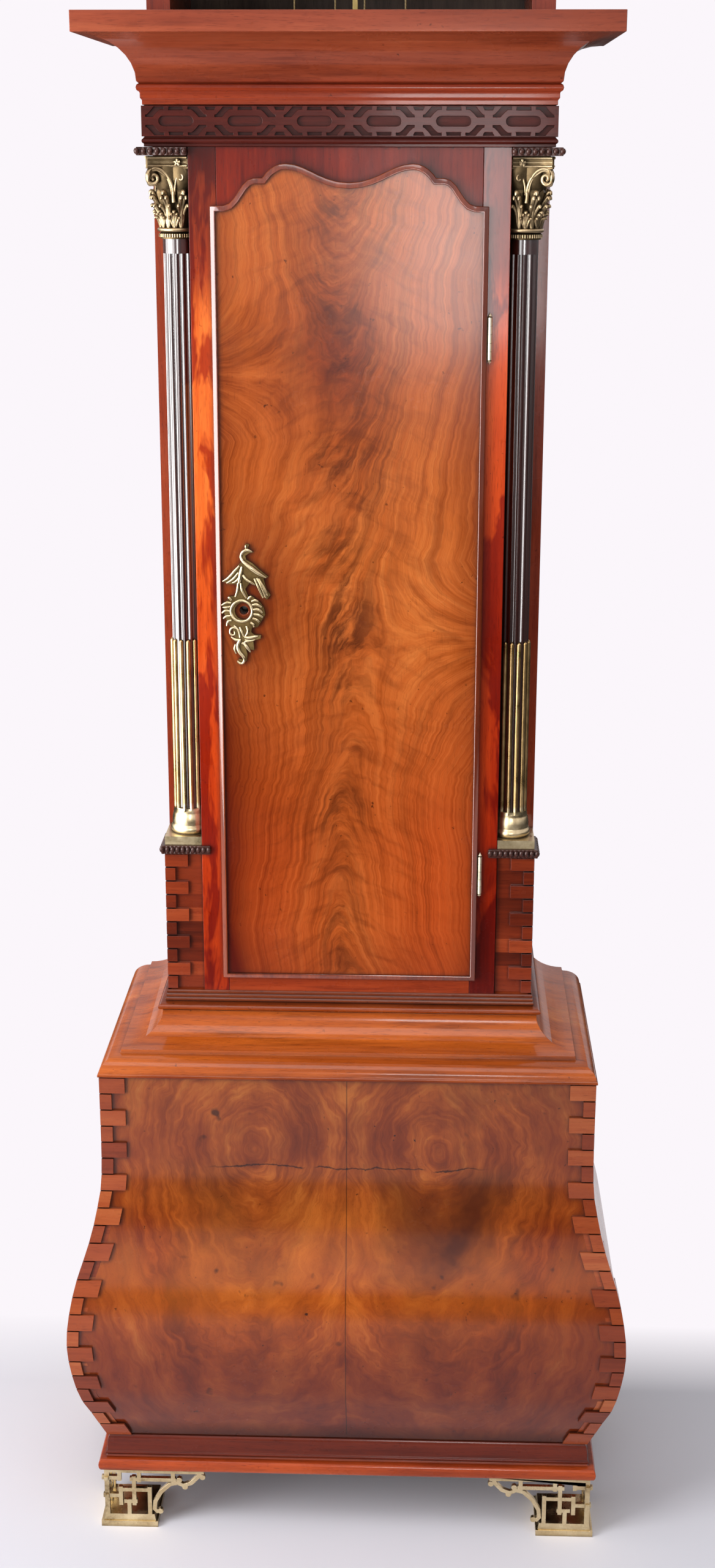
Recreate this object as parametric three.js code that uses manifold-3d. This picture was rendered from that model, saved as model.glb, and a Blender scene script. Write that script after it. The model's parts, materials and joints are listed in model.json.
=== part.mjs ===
// Longcase clock, shown with its hood lifted off: bombe base on four pierced brass feet, trunk with a
// shaped door between recessed corner columns, cornice, and the eight-day movement on its seatboard.
// Millimetres, +Z up. The front faces -Y, and the origin is on the floor at the middle of the whole.
// While it is being built the trunk's front face is at y = 0; the last lines move the group.
import * as THREE from 'three';
import { mergeVertices } from 'three/addons/utils/BufferGeometryUtils.js';
import Module from 'manifold-3d';

const wasm = await Module();
wasm.setup();

// Clearances that serve the whole clock
const gap = 0.3;
const overrun = 2;
const weld = 0.05;

// Plan of the case
const trunkHalfWidth = 215;
const caseDepth = 231;
const backThickness = 12;
const sideThickness = 16;
const frontThickness = 22;
const recessWidth = 43.5;
const recessDepth = 52;
const recessLining = 12;
const sideRebate = 8;
const cheekThickness = 25;
const cheekSetback = 30;
const trunkTenon = 40;

// Heights of what stands on what, from the floor up
const footHeight = 79;
const plinthHeight = 45;
const baseHeight = 476;
const throatHeight = 82;
const pedestalHeight = 169.5;
const padHeight = 10.5;
const columnPlinthHeight = 10;
const columnBaseHeight = 31;
const shaftHeight = 641;
const capitalHeight = 86;
const blockHeight = 9;
const bedHeight = 10;
const friezeHeight = 32;
const coveHeight = 69;
const corniceHeight = 21;
const seatRise = 75;
const seatThickness = 22;
const backRise = 460;

const plinthLevel = footHeight;
const baseLevel = plinthLevel + plinthHeight;
const throatLevel = baseLevel + baseHeight;
const trunkLevel = throatLevel + throatHeight;
const padLevel = trunkLevel + pedestalHeight;
const columnLevel = padLevel + padHeight;
const turnedLevel = columnLevel + columnPlinthHeight;
const shaftLevel = turnedLevel + columnBaseHeight;
const capitalLevel = shaftLevel + shaftHeight;
const blockLevel = capitalLevel + capitalHeight;
const bedLevel = blockLevel + blockHeight;
const friezeLevel = bedLevel + bedHeight;
const coveLevel = friezeLevel + friezeHeight;
const corniceLevel = coveLevel + coveHeight;
const corniceTop = corniceLevel + corniceHeight;
const seatLevel = corniceTop + seatRise;
const movementLevel = seatLevel + seatThickness;

// Base: how far it stands out from the trunk, and its swelling
const baseReach = 74.5;
const baseSwell = 43;
const panelThickness = 16;
const quoinProud = 4;
const quoinGroove = 1.6;
const baseQuoin = { count: 23, long: 30, short: 14, post: 21 };
const trunkQuoin = { count: 10, long: 27, short: 12 };
const swellShares = [
  [0, 0.1], [0.076, 0.43], [0.165, 0.79], [0.308, 1], [0.443, 0.8],
  [0.559, 0.395], [0.65, 0.15], [0.75, 0.01], [1, 0],
];

// Plinth moulding and feet
const plinthReach = 90;
const plinthRing = 30;
const footReach = 88.6;
const foot = { length: 128, bar: 5, plate: 5, plinth: 70, plinthHeight: 15, step: 8, inset: 4.5, scroll: 5 };
const footBarShares = [
  [0.03, 0.84, 0.18, 0.84], [0.18, 0.82, 0.18, 0.96], [0.37, 0.8, 0.37, 0.96],
  [0.3, 0.82, 0.71, 0.82], [0.7, 0.8, 0.7, 0.96], [0.32, 0.38, 0.32, 0.84],
  [0.19, 0.63, 0.47, 0.63], [0.19, 0.38, 0.19, 0.65], [0.47, 0.2, 0.47, 0.65],
  [0.24, 0.42, 0.33, 0.42], [0.04, 0.52, 0.18, 0.52], [0.27, 0.2, 0.27, 0.42],
];
const footScrollShares = [
  [0.96, 0.95], [0.93, 0.86], [0.83, 0.72], [0.75, 0.77],
  [0.66, 0.73], [0.55, 0.53], [0.51, 0.32], [0.55, 0.23],
];
const footCurlShares = [[0.985, 0.88], [0.815, 0.7], [0.76, 0.82], [0.57, 0.25]];

// Mouldings: each profile is a list of reach and height shares from bottom to top
const throatReach = 77;
const corniceReach = 66.4;
const coveReach = 62;
const bedReach = 4.5;
const friezeReach = 1.5;
const fretRelief = 2.5;
const fret = { cells: 6, sideCells: 3, border: 4 };

// Corner columns, their pads, capitals and carved blocks
const columnRadius = 15.3;
const columnInset = 27.4;
const columnPlinthHalf = 26.9;
const flute = { count: 12, radius: 3.1, sink: 0.3, end: 8 };
const stopRod = { count: 7, radius: 2.7, height: 198, root: 5 };
const pad = { reach: 3.5, lap: 10.5, lobe: 1, lobes: 10 };
const block = { reach: 10, lobe: 1.2, lobes: 9 };
const capital = {
  bellTop: 23, abacusHalf: 28.5, abacusHollow: 6, abacusHeight: 13, corner: 4,
  volute: 9, innerVolute: 7, voluteWidth: 7, leafLift: 4.5,
};

// Trunk door
const doorOpeningHalf = 142;
const doorLap = 6.5;
const doorHalf = doorOpeningHalf + doorLap;
const doorSill = 18;
const doorHead = 60.5;
const doorHeadRise = 43.5;
const doorPlay = 1.2;
const doorProud = 6;
const doorBody = 14;
const doorBead = 6;
const doorBeadProud = 3;
const headShoulderShares = [[0.902, 0.01], [0.808, 0.02], [0.781, 0.65], [0.68, 0.66]];
const headCuspShares = [[0.62, 0.66], [0.58, 0.86], [0.525, 1], [0.454, 1]];
const headDipShares = [[0.454, 1], [0.303, 1], [0.202, 0.554], [0, 0.554]];

// Hinges, lock and escutcheon
const hinge = {
  axisOut: 3.1, axisFront: 4, knuckle: 2.8, pin: 1, bore: 1.4, knuckles: 5,
  length: 45, finial: 5, leaf: 1.4, leafDepth: 12, web: 1.6,
};
const hingeHeightShares = [0.142, 0.804];
const lockHeightShare = 0.479;
const lock = { width: 38, below: 15, above: 31, depth: 11, wall: 2, setback: 2.2 };
const bolt = { length: 30, height: 12, thickness: 4, play: 0.4, rise: 16 };
const mortiseDepth = 9;
const escutcheon = { height: 136, thickness: 3, inset: 30.5, hole: 10, keyhole: 5 };
const escutcheonShares = [
  [0.02, 1], [0.053, 0.996], [0.041, 0.963], [0.089, 0.933], [0.049, 0.923], [0.02, 0.902], [0.028, 0.87],
  [0.077, 0.841], [0.134, 0.789], [0.207, 0.728], [0.167, 0.715], [0.191, 0.626], [0.224, 0.577],
  [0.191, 0.538], [0.15, 0.593], [0.114, 0.65], [0.053, 0.679], [0.016, 0.626], [0.041, 0.565],
  [0.061, 0.577], [0.138, 0.516], [0.167, 0.472], [0.179, 0.415], [0.159, 0.378], [0.114, 0.309],
  [0.069, 0.305], [0.061, 0.268], [0.085, 0.244], [0.142, 0.24], [0.138, 0.211], [0.077, 0.195],
  [0.085, 0.114], [0.037, 0.122], [0.012, 0.138], [0.028, 0.081], [0.02, 0.024], [-0.004, 0],
  [-0.041, 0.016], [-0.045, 0.041], [-0.012, 0.033], [-0.008, 0.057], [-0.02, 0.098], [-0.057, 0.122],
  [-0.061, 0.171], [-0.045, 0.187], [-0.089, 0.236], [-0.093, 0.301], [-0.126, 0.333], [-0.15, 0.386],
  [-0.17, 0.496], [-0.118, 0.545], [-0.122, 0.565], [-0.085, 0.565], [-0.049, 0.577], [-0.045, 0.667],
  [-0.126, 0.667], [-0.167, 0.691], [-0.118, 0.724], [-0.069, 0.789], [-0.028, 0.833], [0.004, 0.862],
  [-0.016, 0.911], [-0.004, 0.947], [0.028, 0.963],
];
const escutcheonEyeShare = 0.443;

// Movement on its seatboard
const movement = {
  halfWidth: 85, height: 205, plate: 3.5, front: 80, depth: 68.5, pillar: 5.5, pillarInset: 13,
  arborHeight: 130, barrelHeight: 62, barrelOut: 38, palletHeight: 191,
};
const seat = { front: 45, back: 6, end: 1, slotMargin: 7, pendulumSlot: 22 };
const arborRadius = 3;
const pivotRadius = 2;
const pivotPlay = 0.5;
const barrel = { drum: 24, length: 45, wheel: 35, wheelThickness: 3, arbor: 4.5, hole: 6, offset: 10 };
const escape = { radius: 19, thickness: 2, teeth: 30, tooth: 3.5, offset: 24, drop: 23 };
const pallet = { arm: 17, armWidth: 4, thickness: 3, nib: 4 };
const cock = { halfWidth: 12, height: 18, reach: 30, rise: 9 };
const crutch = { length: 118, width: 4, thickness: 2.5, fork: 3, forkDepth: 12 };
const pendulum = {
  length: 994, rod: 6, rodThickness: 2.4, spring: 24, springThickness: 0.8, setback: 19,
  bob: 60, bobThickness: 28, tail: 42, nut: 7, nutHeight: 8,
};
const bell = { radius: 45, wall: 3, height: 34, rise: 66, arm: 7, armThickness: 4, post: 3, foot: 36 };
const hammer = { out: 62, drop: 18, stem: 3, head: 6, headLength: 14, clearance: 2 };

// Weights, pulleys and gut lines
const gutRadius = 1;
const pulley = { groove: 20.5, flange: 23, width: 8, lip: 2.5, axle: 2.5, hang: 33 };
const stirrup = { plate: 1.6, width: 9, play: 0.6, drop: 30, neck: 12, neckRadius: 4 };
const weight = { radius: 30, height: 190, dome: 8, travel: 1250 };
const gutSetback = 100;

// Dial and hands
const dial = {
  front: 36, thickness: 2.5, half: 165, archRadius: 118, hole: 7, foot: 3.5,
  footOut: 70, footUp: 60, footDown: 118,
  ringOuter: 150, ringInner: 108, ringThickness: 1.5,
};
const minuteHand = { front: 22, length: 140, width: 9, tail: 26, thickness: 1.5, boss: 8, tip: 1.5 };
const hourHand = {
  front: 28, length: 98, width: 16, thickness: 1.5, boss: 9, tip: 1.5, pipe: 5, pipeLength: 42,
};

const colours = {
  mahogany: 0x7a2a14, flame: 0xa3521f, dark: 0x4a1a10, carved: 0x2e1410, oak: 0x5a4632,
  brass: 0xc2a15a, steel: 0x5d6066, bell: 0xb8b0a0, lead: 0x6f6a5c, gut: 0xc9b27a, dial: 0xd8c48a,
};

const clock = new THREE.Group();

// Closed geometry: shared corners merged, corners nearer than the weld joined along their edge, empty
// triangles dropped, and faces turned outward
function closed(geometry) {
  const bare = new THREE.BufferGeometry();
  bare.setAttribute('position', geometry.getAttribute('position').clone());
  if (geometry.index) bare.setIndex(geometry.index.clone());
  const merged = mergeVertices(bare, weld / 500);
  const corner = merged.getAttribute('position');
  const from = merged.index.array;
  const stands = Array.from({ length: corner.count }, (_, i) => i);
  const root = (i) => (stands[i] === i ? i : root(stands[i]));
  const at = (i) => new THREE.Vector3().fromBufferAttribute(corner, i);
  for (let i = 0; i < from.length; i += 3) {
    [0, 1, 2].forEach((k) => {
      const [p, q] = [root(from[i + k]), root(from[i + ((k + 1) % 3)])];
      if (p !== q && at(p).distanceTo(at(q)) < weld) stands[Math.max(p, q)] = Math.min(p, q);
    });
  }
  const kept = [];
  let volume = 0;
  for (let i = 0; i < from.length; i += 3) {
    const [p, q, r] = [root(from[i]), root(from[i + 1]), root(from[i + 2])];
    if (p === q || q === r || r === p) continue;
    kept.push([p, q, r]);
    volume += at(p).dot(at(q).cross(at(r)));
  }
  const whole = new THREE.BufferGeometry();
  whole.setAttribute('position', corner);
  whole.setIndex(kept.flatMap(([p, q, r]) => (volume < 0 ? [p, r, q] : [p, q, r])));
  return whole;
}

function solidOf(geometry) {
  const shell = closed(geometry);
  return new wasm.Manifold(new wasm.Mesh({
    numProp: 3,
    vertProperties: new Float32Array(shell.getAttribute('position').array),
    triVerts: new Uint32Array(shell.index.array),
  }));
}

function geometryOf(solid) {
  const mesh = solid.getMesh();
  const geometry = new THREE.BufferGeometry();
  geometry.setAttribute('position', new THREE.BufferAttribute(new Float32Array(mesh.vertProperties), 3));
  geometry.setIndex(Array.from(mesh.triVerts));
  return geometry;
}

function join(...pieces) {
  return geometryOf(pieces.map(solidOf).reduce((whole, next) => whole.add(next)));
}

function cut(piece, ...cutters) {
  return geometryOf(cutters.map(solidOf).reduce((whole, next) => whole.subtract(next), solidOf(piece)));
}

function mirrored(geometry) {
  return closed(geometry.clone().scale(-1, 1, 1));
}

function box(x0, x1, y0, y1, z0, z1) {
  return new THREE.BoxGeometry(x1 - x0, y1 - y0, z1 - z0)
    .translate((x0 + x1) / 2, (y0 + y1) / 2, (z0 + z1) / 2);
}

// Round bar along Y from y0 to y1
function barAlongY(radius, x, z, y0, y1, sides = 16) {
  return new THREE.CylinderGeometry(radius, radius, y1 - y0, sides).translate(x, (y0 + y1) / 2, z);
}

function barAlongZ(radius, x, y, z0, z1, sides = 16) {
  return new THREE.CylinderGeometry(radius, radius, z1 - z0, sides)
    .rotateX(Math.PI / 2).translate(x, y, (z0 + z1) / 2);
}

function barAlongX(radius, y, z, x0, x1, sides = 12) {
  return new THREE.CylinderGeometry(radius, radius, x1 - x0, sides)
    .rotateZ(Math.PI / 2).translate((x0 + x1) / 2, y, z);
}

// Turned about a vertical axis from a profile of radius and height
function turned(profile, x, y, sides = 24) {
  const points = profile.map(([radius, height]) => new THREE.Vector2(radius, height));
  return new THREE.LatheGeometry(points, sides).rotateX(Math.PI / 2).translate(x, y, 0);
}

function shapeOf(points, holes = []) {
  const shape = new THREE.Shape(points.map(([x, z]) => new THREE.Vector2(x, z)));
  holes.forEach((hole) => shape.holes.push(new THREE.Path(hole.map(([x, z]) => new THREE.Vector2(x, z)))));
  return shape;
}

// Flat outline made thick from zero upward
function thickened(points, holes, depth) {
  const settings = { depth, bevelEnabled: false, curveSegments: 1 };
  return new THREE.ExtrudeGeometry(shapeOf(points, holes), settings);
}

// Board standing in the XZ plane between y0 and y1
function standing(points, y0, y1, holes = []) {
  return thickened(points, holes, y1 - y0).rotateX(Math.PI / 2).translate(0, y1, 0);
}

// Board lying in plan between z0 and z1
function lying(points, z0, z1, holes = []) {
  return thickened(points, holes, z1 - z0).translate(0, 0, z0);
}

// Skin over rings of matching corners, with the two end rings closed by the flat outline they share
function skinned(rings, outline) {
  const count = outline.length;
  const cap = THREE.ShapeUtils.triangulateShape(outline.map(([u, v]) => new THREE.Vector2(u, v)), []);
  const index = [];
  for (let ring = 0; ring < rings.length - 1; ring += 1) {
    for (let i = 0; i < count; i += 1) {
      const [a, b] = [ring * count + i, ring * count + ((i + 1) % count)];
      index.push(a, b, b + count, a, b + count, a + count);
    }
  }
  const last = (rings.length - 1) * count;
  cap.forEach(([p, q, r]) => index.push(r, q, p, last + p, last + q, last + r));
  const geometry = new THREE.BufferGeometry();
  geometry.setAttribute('position', new THREE.Float32BufferAttribute(rings.flat(2), 3));
  geometry.setIndex(index);
  return closed(geometry);
}

// Moulding that runs forward along one side, across the front and back along the other, mitred at the
// corners; the closed profile is in reach beyond the trunk and height
function wrapped(profile) {
  const stations = [
    ([reach, z]) => [-trunkHalfWidth - reach, caseDepth, z],
    ([reach, z]) => [-trunkHalfWidth - reach, -reach, z],
    ([reach, z]) => [trunkHalfWidth + reach, -reach, z],
    ([reach, z]) => [trunkHalfWidth + reach, caseDepth, z],
  ];
  return skinned(stations.map((place) => profile.map(place)), profile);
}

// Quarter round of a profile: way is 1 to set out level and turn upward, -1 to set out upright and turn level
function arcShares([r0, z0], [r1, z1], way, steps) {
  const points = [];
  for (let i = 0; i <= steps; i += 1) {
    const turn = (i / steps) * Math.PI / 2;
    const [s, c] = way > 0 ? [Math.sin(turn), 1 - Math.cos(turn)] : [1 - Math.cos(turn), Math.sin(turn)];
    points.push([r0 + (r1 - r0) * s, z0 + (z1 - z0) * c]);
  }
  return points;
}

function roundShares(reach, depth, z0, z1, steps = 6) {
  const points = [];
  for (let i = 0; i <= steps; i += 1) {
    const turn = (i / steps) * Math.PI;
    points.push([reach + depth * Math.sin(turn), (z0 + z1) / 2 - ((z1 - z0) / 2) * Math.cos(turn)]);
  }
  return points;
}

function bezier(shares, steps) {
  const [a, b, c, d] = shares.map(([x, z]) => new THREE.Vector2(x, z));
  return new THREE.CubicBezierCurve(a, b, c, d).getPoints(steps).map((p) => [p.x, p.y]);
}

// Outline moved inward by a distance, corner by corner
function insetOutline(points, distance) {
  const count = points.length;
  return points.map(([x, z], i) => {
    const before = new THREE.Vector2(...points[(i + count - 1) % count]);
    const here = new THREE.Vector2(x, z);
    const after = new THREE.Vector2(...points[(i + 1) % count]);
    const one = here.clone().sub(before).normalize();
    const two = after.clone().sub(here).normalize();
    const normal = new THREE.Vector2(-one.y - two.y, one.x + two.x).normalize();
    const spread = Math.max(normal.dot(new THREE.Vector2(-one.y, one.x)), 0.35);
    return [x + (normal.x * distance) / spread, z + (normal.y * distance) / spread];
  });
}

function place(name, geometry, colour, roughness = 0.45, metalness = 0) {
  const material = new THREE.MeshStandardMaterial({ color: colour, roughness, metalness });
  const mesh = new THREE.Mesh(closed(geometry), material);
  mesh.name = name;
  clock.add(mesh);
}

function placePair(name, geometry, colour, roughness, metalness) {
  place(`${name}_right`, geometry, colour, roughness, metalness);
  place(`${name}_left`, mirrored(geometry), colour, roughness, metalness);
}

// Half width of the base over its quoins at a height
const swellStops = swellShares.map(([z, out]) => new THREE.Vector2(z, out));
const swellCurve = new THREE.SplineCurve(swellStops).getPoints(96);
function baseHalf(z) {
  const share = THREE.MathUtils.clamp((z - baseLevel) / baseHeight, 0, 1);
  const next = Math.max(1, swellCurve.findIndex((p) => p.x >= share));
  const [low, high] = [swellCurve[next - 1], swellCurve[next]];
  const out = low.y + ((high.y - low.y) * (share - low.x)) / (high.x - low.x);
  return trunkHalfWidth + baseReach + baseSwell * out;
}

function heights(z0, z1, steps) {
  return Array.from({ length: steps + 1 }, (_, i) => z0 + ((z1 - z0) * i) / steps);
}

// Bracket foot at the front right corner; face works in distance from the corner and height
function footFace() {
  const wide = ([u, v]) => [u * foot.length, v * (footHeight - gap)];
  const top = footHeight - gap;
  const [near, far] = [foot.inset, foot.inset + foot.plate];
  const bars = footBarShares.map((bar) => {
    const [u0, v0] = wide(bar.slice(0, 2));
    const [u1, v1] = wide(bar.slice(2));
    const half = foot.bar / 2;
    const [left, right] = [Math.min(u0, u1) - half, Math.max(u0, u1) + half];
    return box(left, right, near, far, v0 - half, Math.min(v1 + half, top));
  });
  const path = new THREE.SplineCurve(footScrollShares.map((p) => new THREE.Vector2(...wide(p)))).getPoints(9);
  const half = foot.scroll / 2;
  const [left, right] = [[], []];
  path.forEach((p, i) => {
    const ahead = path[Math.min(i + 1, path.length - 1)].clone().sub(path[Math.max(i - 1, 0)]).normalize();
    left.push([p.x - ahead.y * half, Math.min(p.y + ahead.x * half, top)]);
    right.push([p.x + ahead.y * half, Math.min(p.y - ahead.x * half, top)]);
  });
  const scroll = standing([...left, ...right.reverse()], near, far);
  const curls = footCurlShares.map(wide).map(([u, v]) => barAlongY(foot.bar * 0.75, u, v, near, far, 8));
  const rail = box(near, foot.length, near, far, top - foot.bar, top);
  const post = box(near, near + foot.bar * 1.2, near, far, foot.step, top);
  return join(rail, post, scroll, ...bars, ...curls);
}

function footPlinth() {
  const levels = [
    [0, 0], [0, foot.step], [foot.inset * 0.6, foot.step], [foot.inset, foot.plinthHeight],
  ];
  const square = (inset, z) => [
    [inset, inset, z], [foot.plinth - inset, inset, z], [foot.plinth - inset, foot.plinth - inset, z],
    [inset, foot.plinth - inset, z],
  ];
  const rings = levels.map(([inset, z]) => square(inset, z));
  return skinned(rings, rings[0].map(([x, y]) => [x, y]));
}

function bracketFoot() {
  const front = footFace().clone().scale(-1, 1, 1);
  const side = footFace().clone().rotateZ(Math.PI / 2);
  const block = footPlinth().clone().scale(-1, 1, 1);
  return join(front, side, block).translate(trunkHalfWidth + footReach, -footReach, 0);
}

function backFoot() {
  const [near, far] = [foot.inset, foot.inset + foot.plate];
  const side = footFace().clone().rotateZ(-Math.PI / 2).translate(-near - far, 0, 0);
  const stop = box(-foot.plinth + near, -near, -far, -near, foot.step, footHeight - gap);
  const block = footPlinth().clone().scale(-1, -1, 1);
  return join(side, stop, block).translate(trunkHalfWidth + footReach, caseDepth, 0);
}

function addFeet() {
  const front = bracketFoot();
  const back = backFoot();
  place('foot_front_right', front, colours.brass, 0.35, 1);
  place('foot_front_left', mirrored(front), colours.brass, 0.35, 1);
  place('foot_back_right', back, colours.brass, 0.35, 1);
  place('foot_back_left', mirrored(back), colours.brass, 0.35, 1);
}

function addPlinth() {
  const inner = plinthReach - plinthRing;
  const at = (share) => plinthLevel + plinthHeight * share;
  const reach = (share) => plinthReach * share;
  const torus = roundShares(reach(0.953), reach(0.047), plinthLevel, at(0.36));
  const reed = roundShares(reach(0.89), reach(0.018), at(0.43), at(0.52), 4);
  const roll = arcShares([reach(0.885), at(0.56)], [reach(0.845), at(1) - gap], -1, 6);
  place('plinth_moulding', wrapped([
    [inner, plinthLevel], ...torus, [reach(0.9), at(0.37)], [reach(0.885), at(0.41)], ...reed, ...roll,
    [inner, at(1) - gap],
  ]), colours.mahogany);
}

// Panels follow the swelling level by level, and stop short of the corner posts
function addBasePanels() {
  const levels = heights(baseLevel, throatLevel - gap, 20);
  const frontRings = levels.map((z) => {
    const edge = baseHalf(z) - baseQuoin.post - gap;
    const face = trunkHalfWidth - baseHalf(z) + quoinProud;
    const back = face + panelThickness;
    return [[-edge, face, z], [edge, face, z], [edge, back, z], [-edge, back, z]];
  });
  place('base_front_panel', skinned(frontRings, frontRings[0].map(([x, y]) => [x, y])), colours.flame);
  const sideRings = levels.map((z) => {
    const edge = trunkHalfWidth - baseHalf(z) + baseQuoin.post + gap;
    const face = baseHalf(z) - quoinProud;
    const back = face - panelThickness;
    return [[back, edge, z], [face, edge, z], [face, caseDepth, z], [back, caseDepth, z]];
  });
  placePair('base_side', skinned(sideRings, sideRings[0].map(([x, y]) => [x, y])), colours.mahogany);
}

// Quoin block that wraps a corner: legs lie over the panels, and its plan follows the half width
function quoinBlock(halfAt, leg, z0, z1, thickness) {
  const rings = [z0 + quoinGroove / 2, z1 - quoinGroove / 2].map((z) => {
    const x = halfAt(z);
    const y = trunkHalfWidth - x;
    const end = halfAt(z) - leg;
    const inner = halfAt(z) - thickness;
    return [
      [end, y, z], [x, y, z], [x, trunkHalfWidth - end, z], [inner, trunkHalfWidth - end, z],
      [inner, trunkHalfWidth - inner, z], [end, trunkHalfWidth - inner, z],
    ];
  });
  return skinned(rings, rings[0].map(([x, y]) => [x, y]));
}

function quoinStack(halfAt, sizes, z0, z1, thickness) {
  const pitch = (z1 - z0) / sizes.count;
  return Array.from({ length: sizes.count }, (_, i) => {
    const leg = (sizes.count - 1 - i) % 2 === 0 ? sizes.long : sizes.short;
    return quoinBlock(halfAt, leg, z0 + pitch * i, z0 + pitch * (i + 1), thickness);
  });
}

function addBaseQuoins() {
  const skin = quoinProud - gap;
  const rings = heights(baseLevel, throatLevel - gap, 20).map((z) => {
    const [low, high] = [baseHalf(z) - baseQuoin.post, baseHalf(z) - quoinProud + gap * 2];
    return [
      [low, trunkHalfWidth - high, z], [high, trunkHalfWidth - high, z],
      [high, trunkHalfWidth - low, z], [low, trunkHalfWidth - low, z],
    ];
  });
  const post = skinned(rings, rings[0].map(([x, y]) => [x, y]));
  const blocks = quoinStack(baseHalf, baseQuoin, baseLevel, throatLevel - gap, skin);
  placePair('base_quoins', join(post, ...blocks), colours.mahogany);
}

function addThroat() {
  const at = (share) => throatLevel + throatHeight * share;
  const reach = (share) => throatReach * share;
  const bead = roundShares(reach(0.975), reach(0.015), throatLevel, at(0.05), 4);
  const ovolo = arcShares([reach(0.965), at(0.065)], [reach(0.69), at(0.255)], -1, 8);
  const hollow = arcShares([reach(0.66), at(0.31)], [reach(0.086), at(0.69)], 1, 10);
  const astragal = roundShares(reach(0.07), reach(0.08), at(0.715), at(0.81), 6);
  const reeds = [0, 1, 2].flatMap((i) => {
    const low = 0.83 + 0.055 * i;
    return roundShares(reach(0.03 - 0.01 * i), reach(0.014), at(low), at(low + 0.045), 4);
  });
  place('base_top_moulding', wrapped([
    [gap, throatLevel], ...bead, ...ovolo, [reach(0.672), at(0.26)], ...hollow, [reach(0.086), at(0.705)],
    ...astragal, ...reeds, [gap, trunkLevel - gap],
  ]), colours.mahogany);
}

function addTrunkSides() {
  const foot0 = throatLevel - trunkTenon;
  const [inside, outside] = [trunkHalfWidth - sideThickness, trunkHalfWidth];
  const lining = trunkHalfWidth - recessWidth - recessLining;
  const cheekInside = trunkHalfWidth - cheekThickness;
  const rebated = outside - sideRebate;
  const upperFront = sideRebate + gap;
  placePair('trunk_side', join(
    box(inside, outside, recessDepth, caseDepth, foot0, bedLevel),
    box(lining, outside, recessDepth, recessDepth + recessLining, foot0, bedLevel),
    box(lining, outside - recessWidth, frontThickness + gap, recessDepth + recessLining, foot0, bedLevel),
    box(inside, rebated, recessDepth, caseDepth, bedLevel - overrun, corniceTop + overrun),
    box(cheekInside, rebated, upperFront, caseDepth, bedLevel + gap, corniceTop),
    box(cheekInside, rebated, cheekSetback, caseDepth, corniceTop - overrun, seatLevel - gap),
    box(cheekInside, outside, cheekSetback, caseDepth, corniceTop + gap, seatLevel - gap),
  ), colours.oak, 0.8);
}

// Half of the door's outline from the sill to the middle of its head
const doorBottom = trunkLevel + doorSill;
const doorShoulder = bedLevel - doorHead;
function doorOutline() {
  const scaled = (shares) => shares.map(([x, z]) => [x * doorHalf, doorShoulder + z * doorHeadRise]);
  const half = scaled([
    ...bezier(headShoulderShares, 6), ...bezier(headCuspShares, 5).slice(0, -1), ...bezier(headDipShares, 7),
  ]);
  const right = [[doorHalf, doorBottom], [doorHalf, doorShoulder], ...half];
  return [...right, ...right.slice(0, -1).reverse().map(([x, z]) => [-x, z])];
}

const hingeAxis = [doorHalf + hinge.axisOut, -hinge.axisFront];
const doorHeight = doorShoulder + doorHeadRise - doorBottom;
const hingeLevels = hingeHeightShares.map((share) => doorBottom + doorHeight * share);
const lockLevel = doorBottom + doorHeight * lockHeightShare;
const boltLevel = lockLevel + bolt.rise;

// Rebates for one hinge leaf: the strip under the lap and the strip down the edge
function leafStrips(level, edgeX, stripBack, inward, slack) {
  const half = hinge.length / 2 + slack;
  const [near, far] = inward ? [edgeX - hinge.leaf - slack, edgeX] : [edgeX, edgeX + hinge.leaf + slack];
  const strip = [stripBack - hinge.leaf - slack, stripBack];
  const face = inward
    ? [near, hingeAxis[0] - hinge.pin * 2 + slack]
    : [edgeX, hingeAxis[0] + hinge.web / 2 + slack];
  return [
    box(face[0], face[1], ...strip, level - half, level + half),
    box(near, far, strip[0], strip[1] + hinge.leafDepth + slack, level - half, level + half),
  ];
}

function addStiles() {
  const bottom = throatLevel - trunkTenon;
  const plain = box(doorOpeningHalf, trunkHalfWidth - recessWidth, 0, frontThickness, bottom, bedLevel);
  const rebates = hingeLevels.flatMap((level) => leafStrips(level, doorOpeningHalf, hinge.leaf, false, gap));
  place('trunk_stile_right', cut(plain, ...rebates), colours.mahogany);
  const slot = box(
    doorOpeningHalf - overrun, doorOpeningHalf + mortiseDepth,
    boltBack - bolt.thickness - bolt.play, boltBack + bolt.play,
    boltLevel - bolt.height / 2 - bolt.play, boltLevel + bolt.height / 2 + bolt.play,
  );
  place('trunk_stile_left', mirrored(cut(plain, slot)), colours.mahogany);
}

function addRails() {
  const half = doorOpeningHalf - gap;
  const low = doorShoulder - doorLap - overrun;
  const opening = insetOutline(doorOutline(), doorLap).filter(([, z]) => z > low);
  const head = opening.slice(1, -1);
  const outline = [
    [half, doorShoulder - doorLap], [half, bedLevel], [-half, bedLevel], [-half, doorShoulder - doorLap],
    ...head.slice().reverse().filter(([x]) => Math.abs(x) < half),
  ];
  place('trunk_top_rail', standing(outline, 0, frontThickness), colours.dark);
  place('trunk_bottom_rail', box(
    -half, half, 0, frontThickness, throatLevel - trunkTenon, doorBottom + doorLap,
  ), colours.mahogany);
}

function addPedestals() {
  const inside = trunkHalfWidth - recessWidth + gap;
  const core = trunkHalfWidth - quoinProud + gap;
  const foot0 = throatLevel - trunkTenon;
  const post = box(inside, core, quoinProud - gap, recessDepth - gap, foot0, padLevel - gap);
  const blocks = quoinStack(() => trunkHalfWidth, trunkQuoin, trunkLevel, padLevel - gap, quoinProud);
  placePair('trunk_quoins', join(post, ...blocks), colours.mahogany);
}

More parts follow.
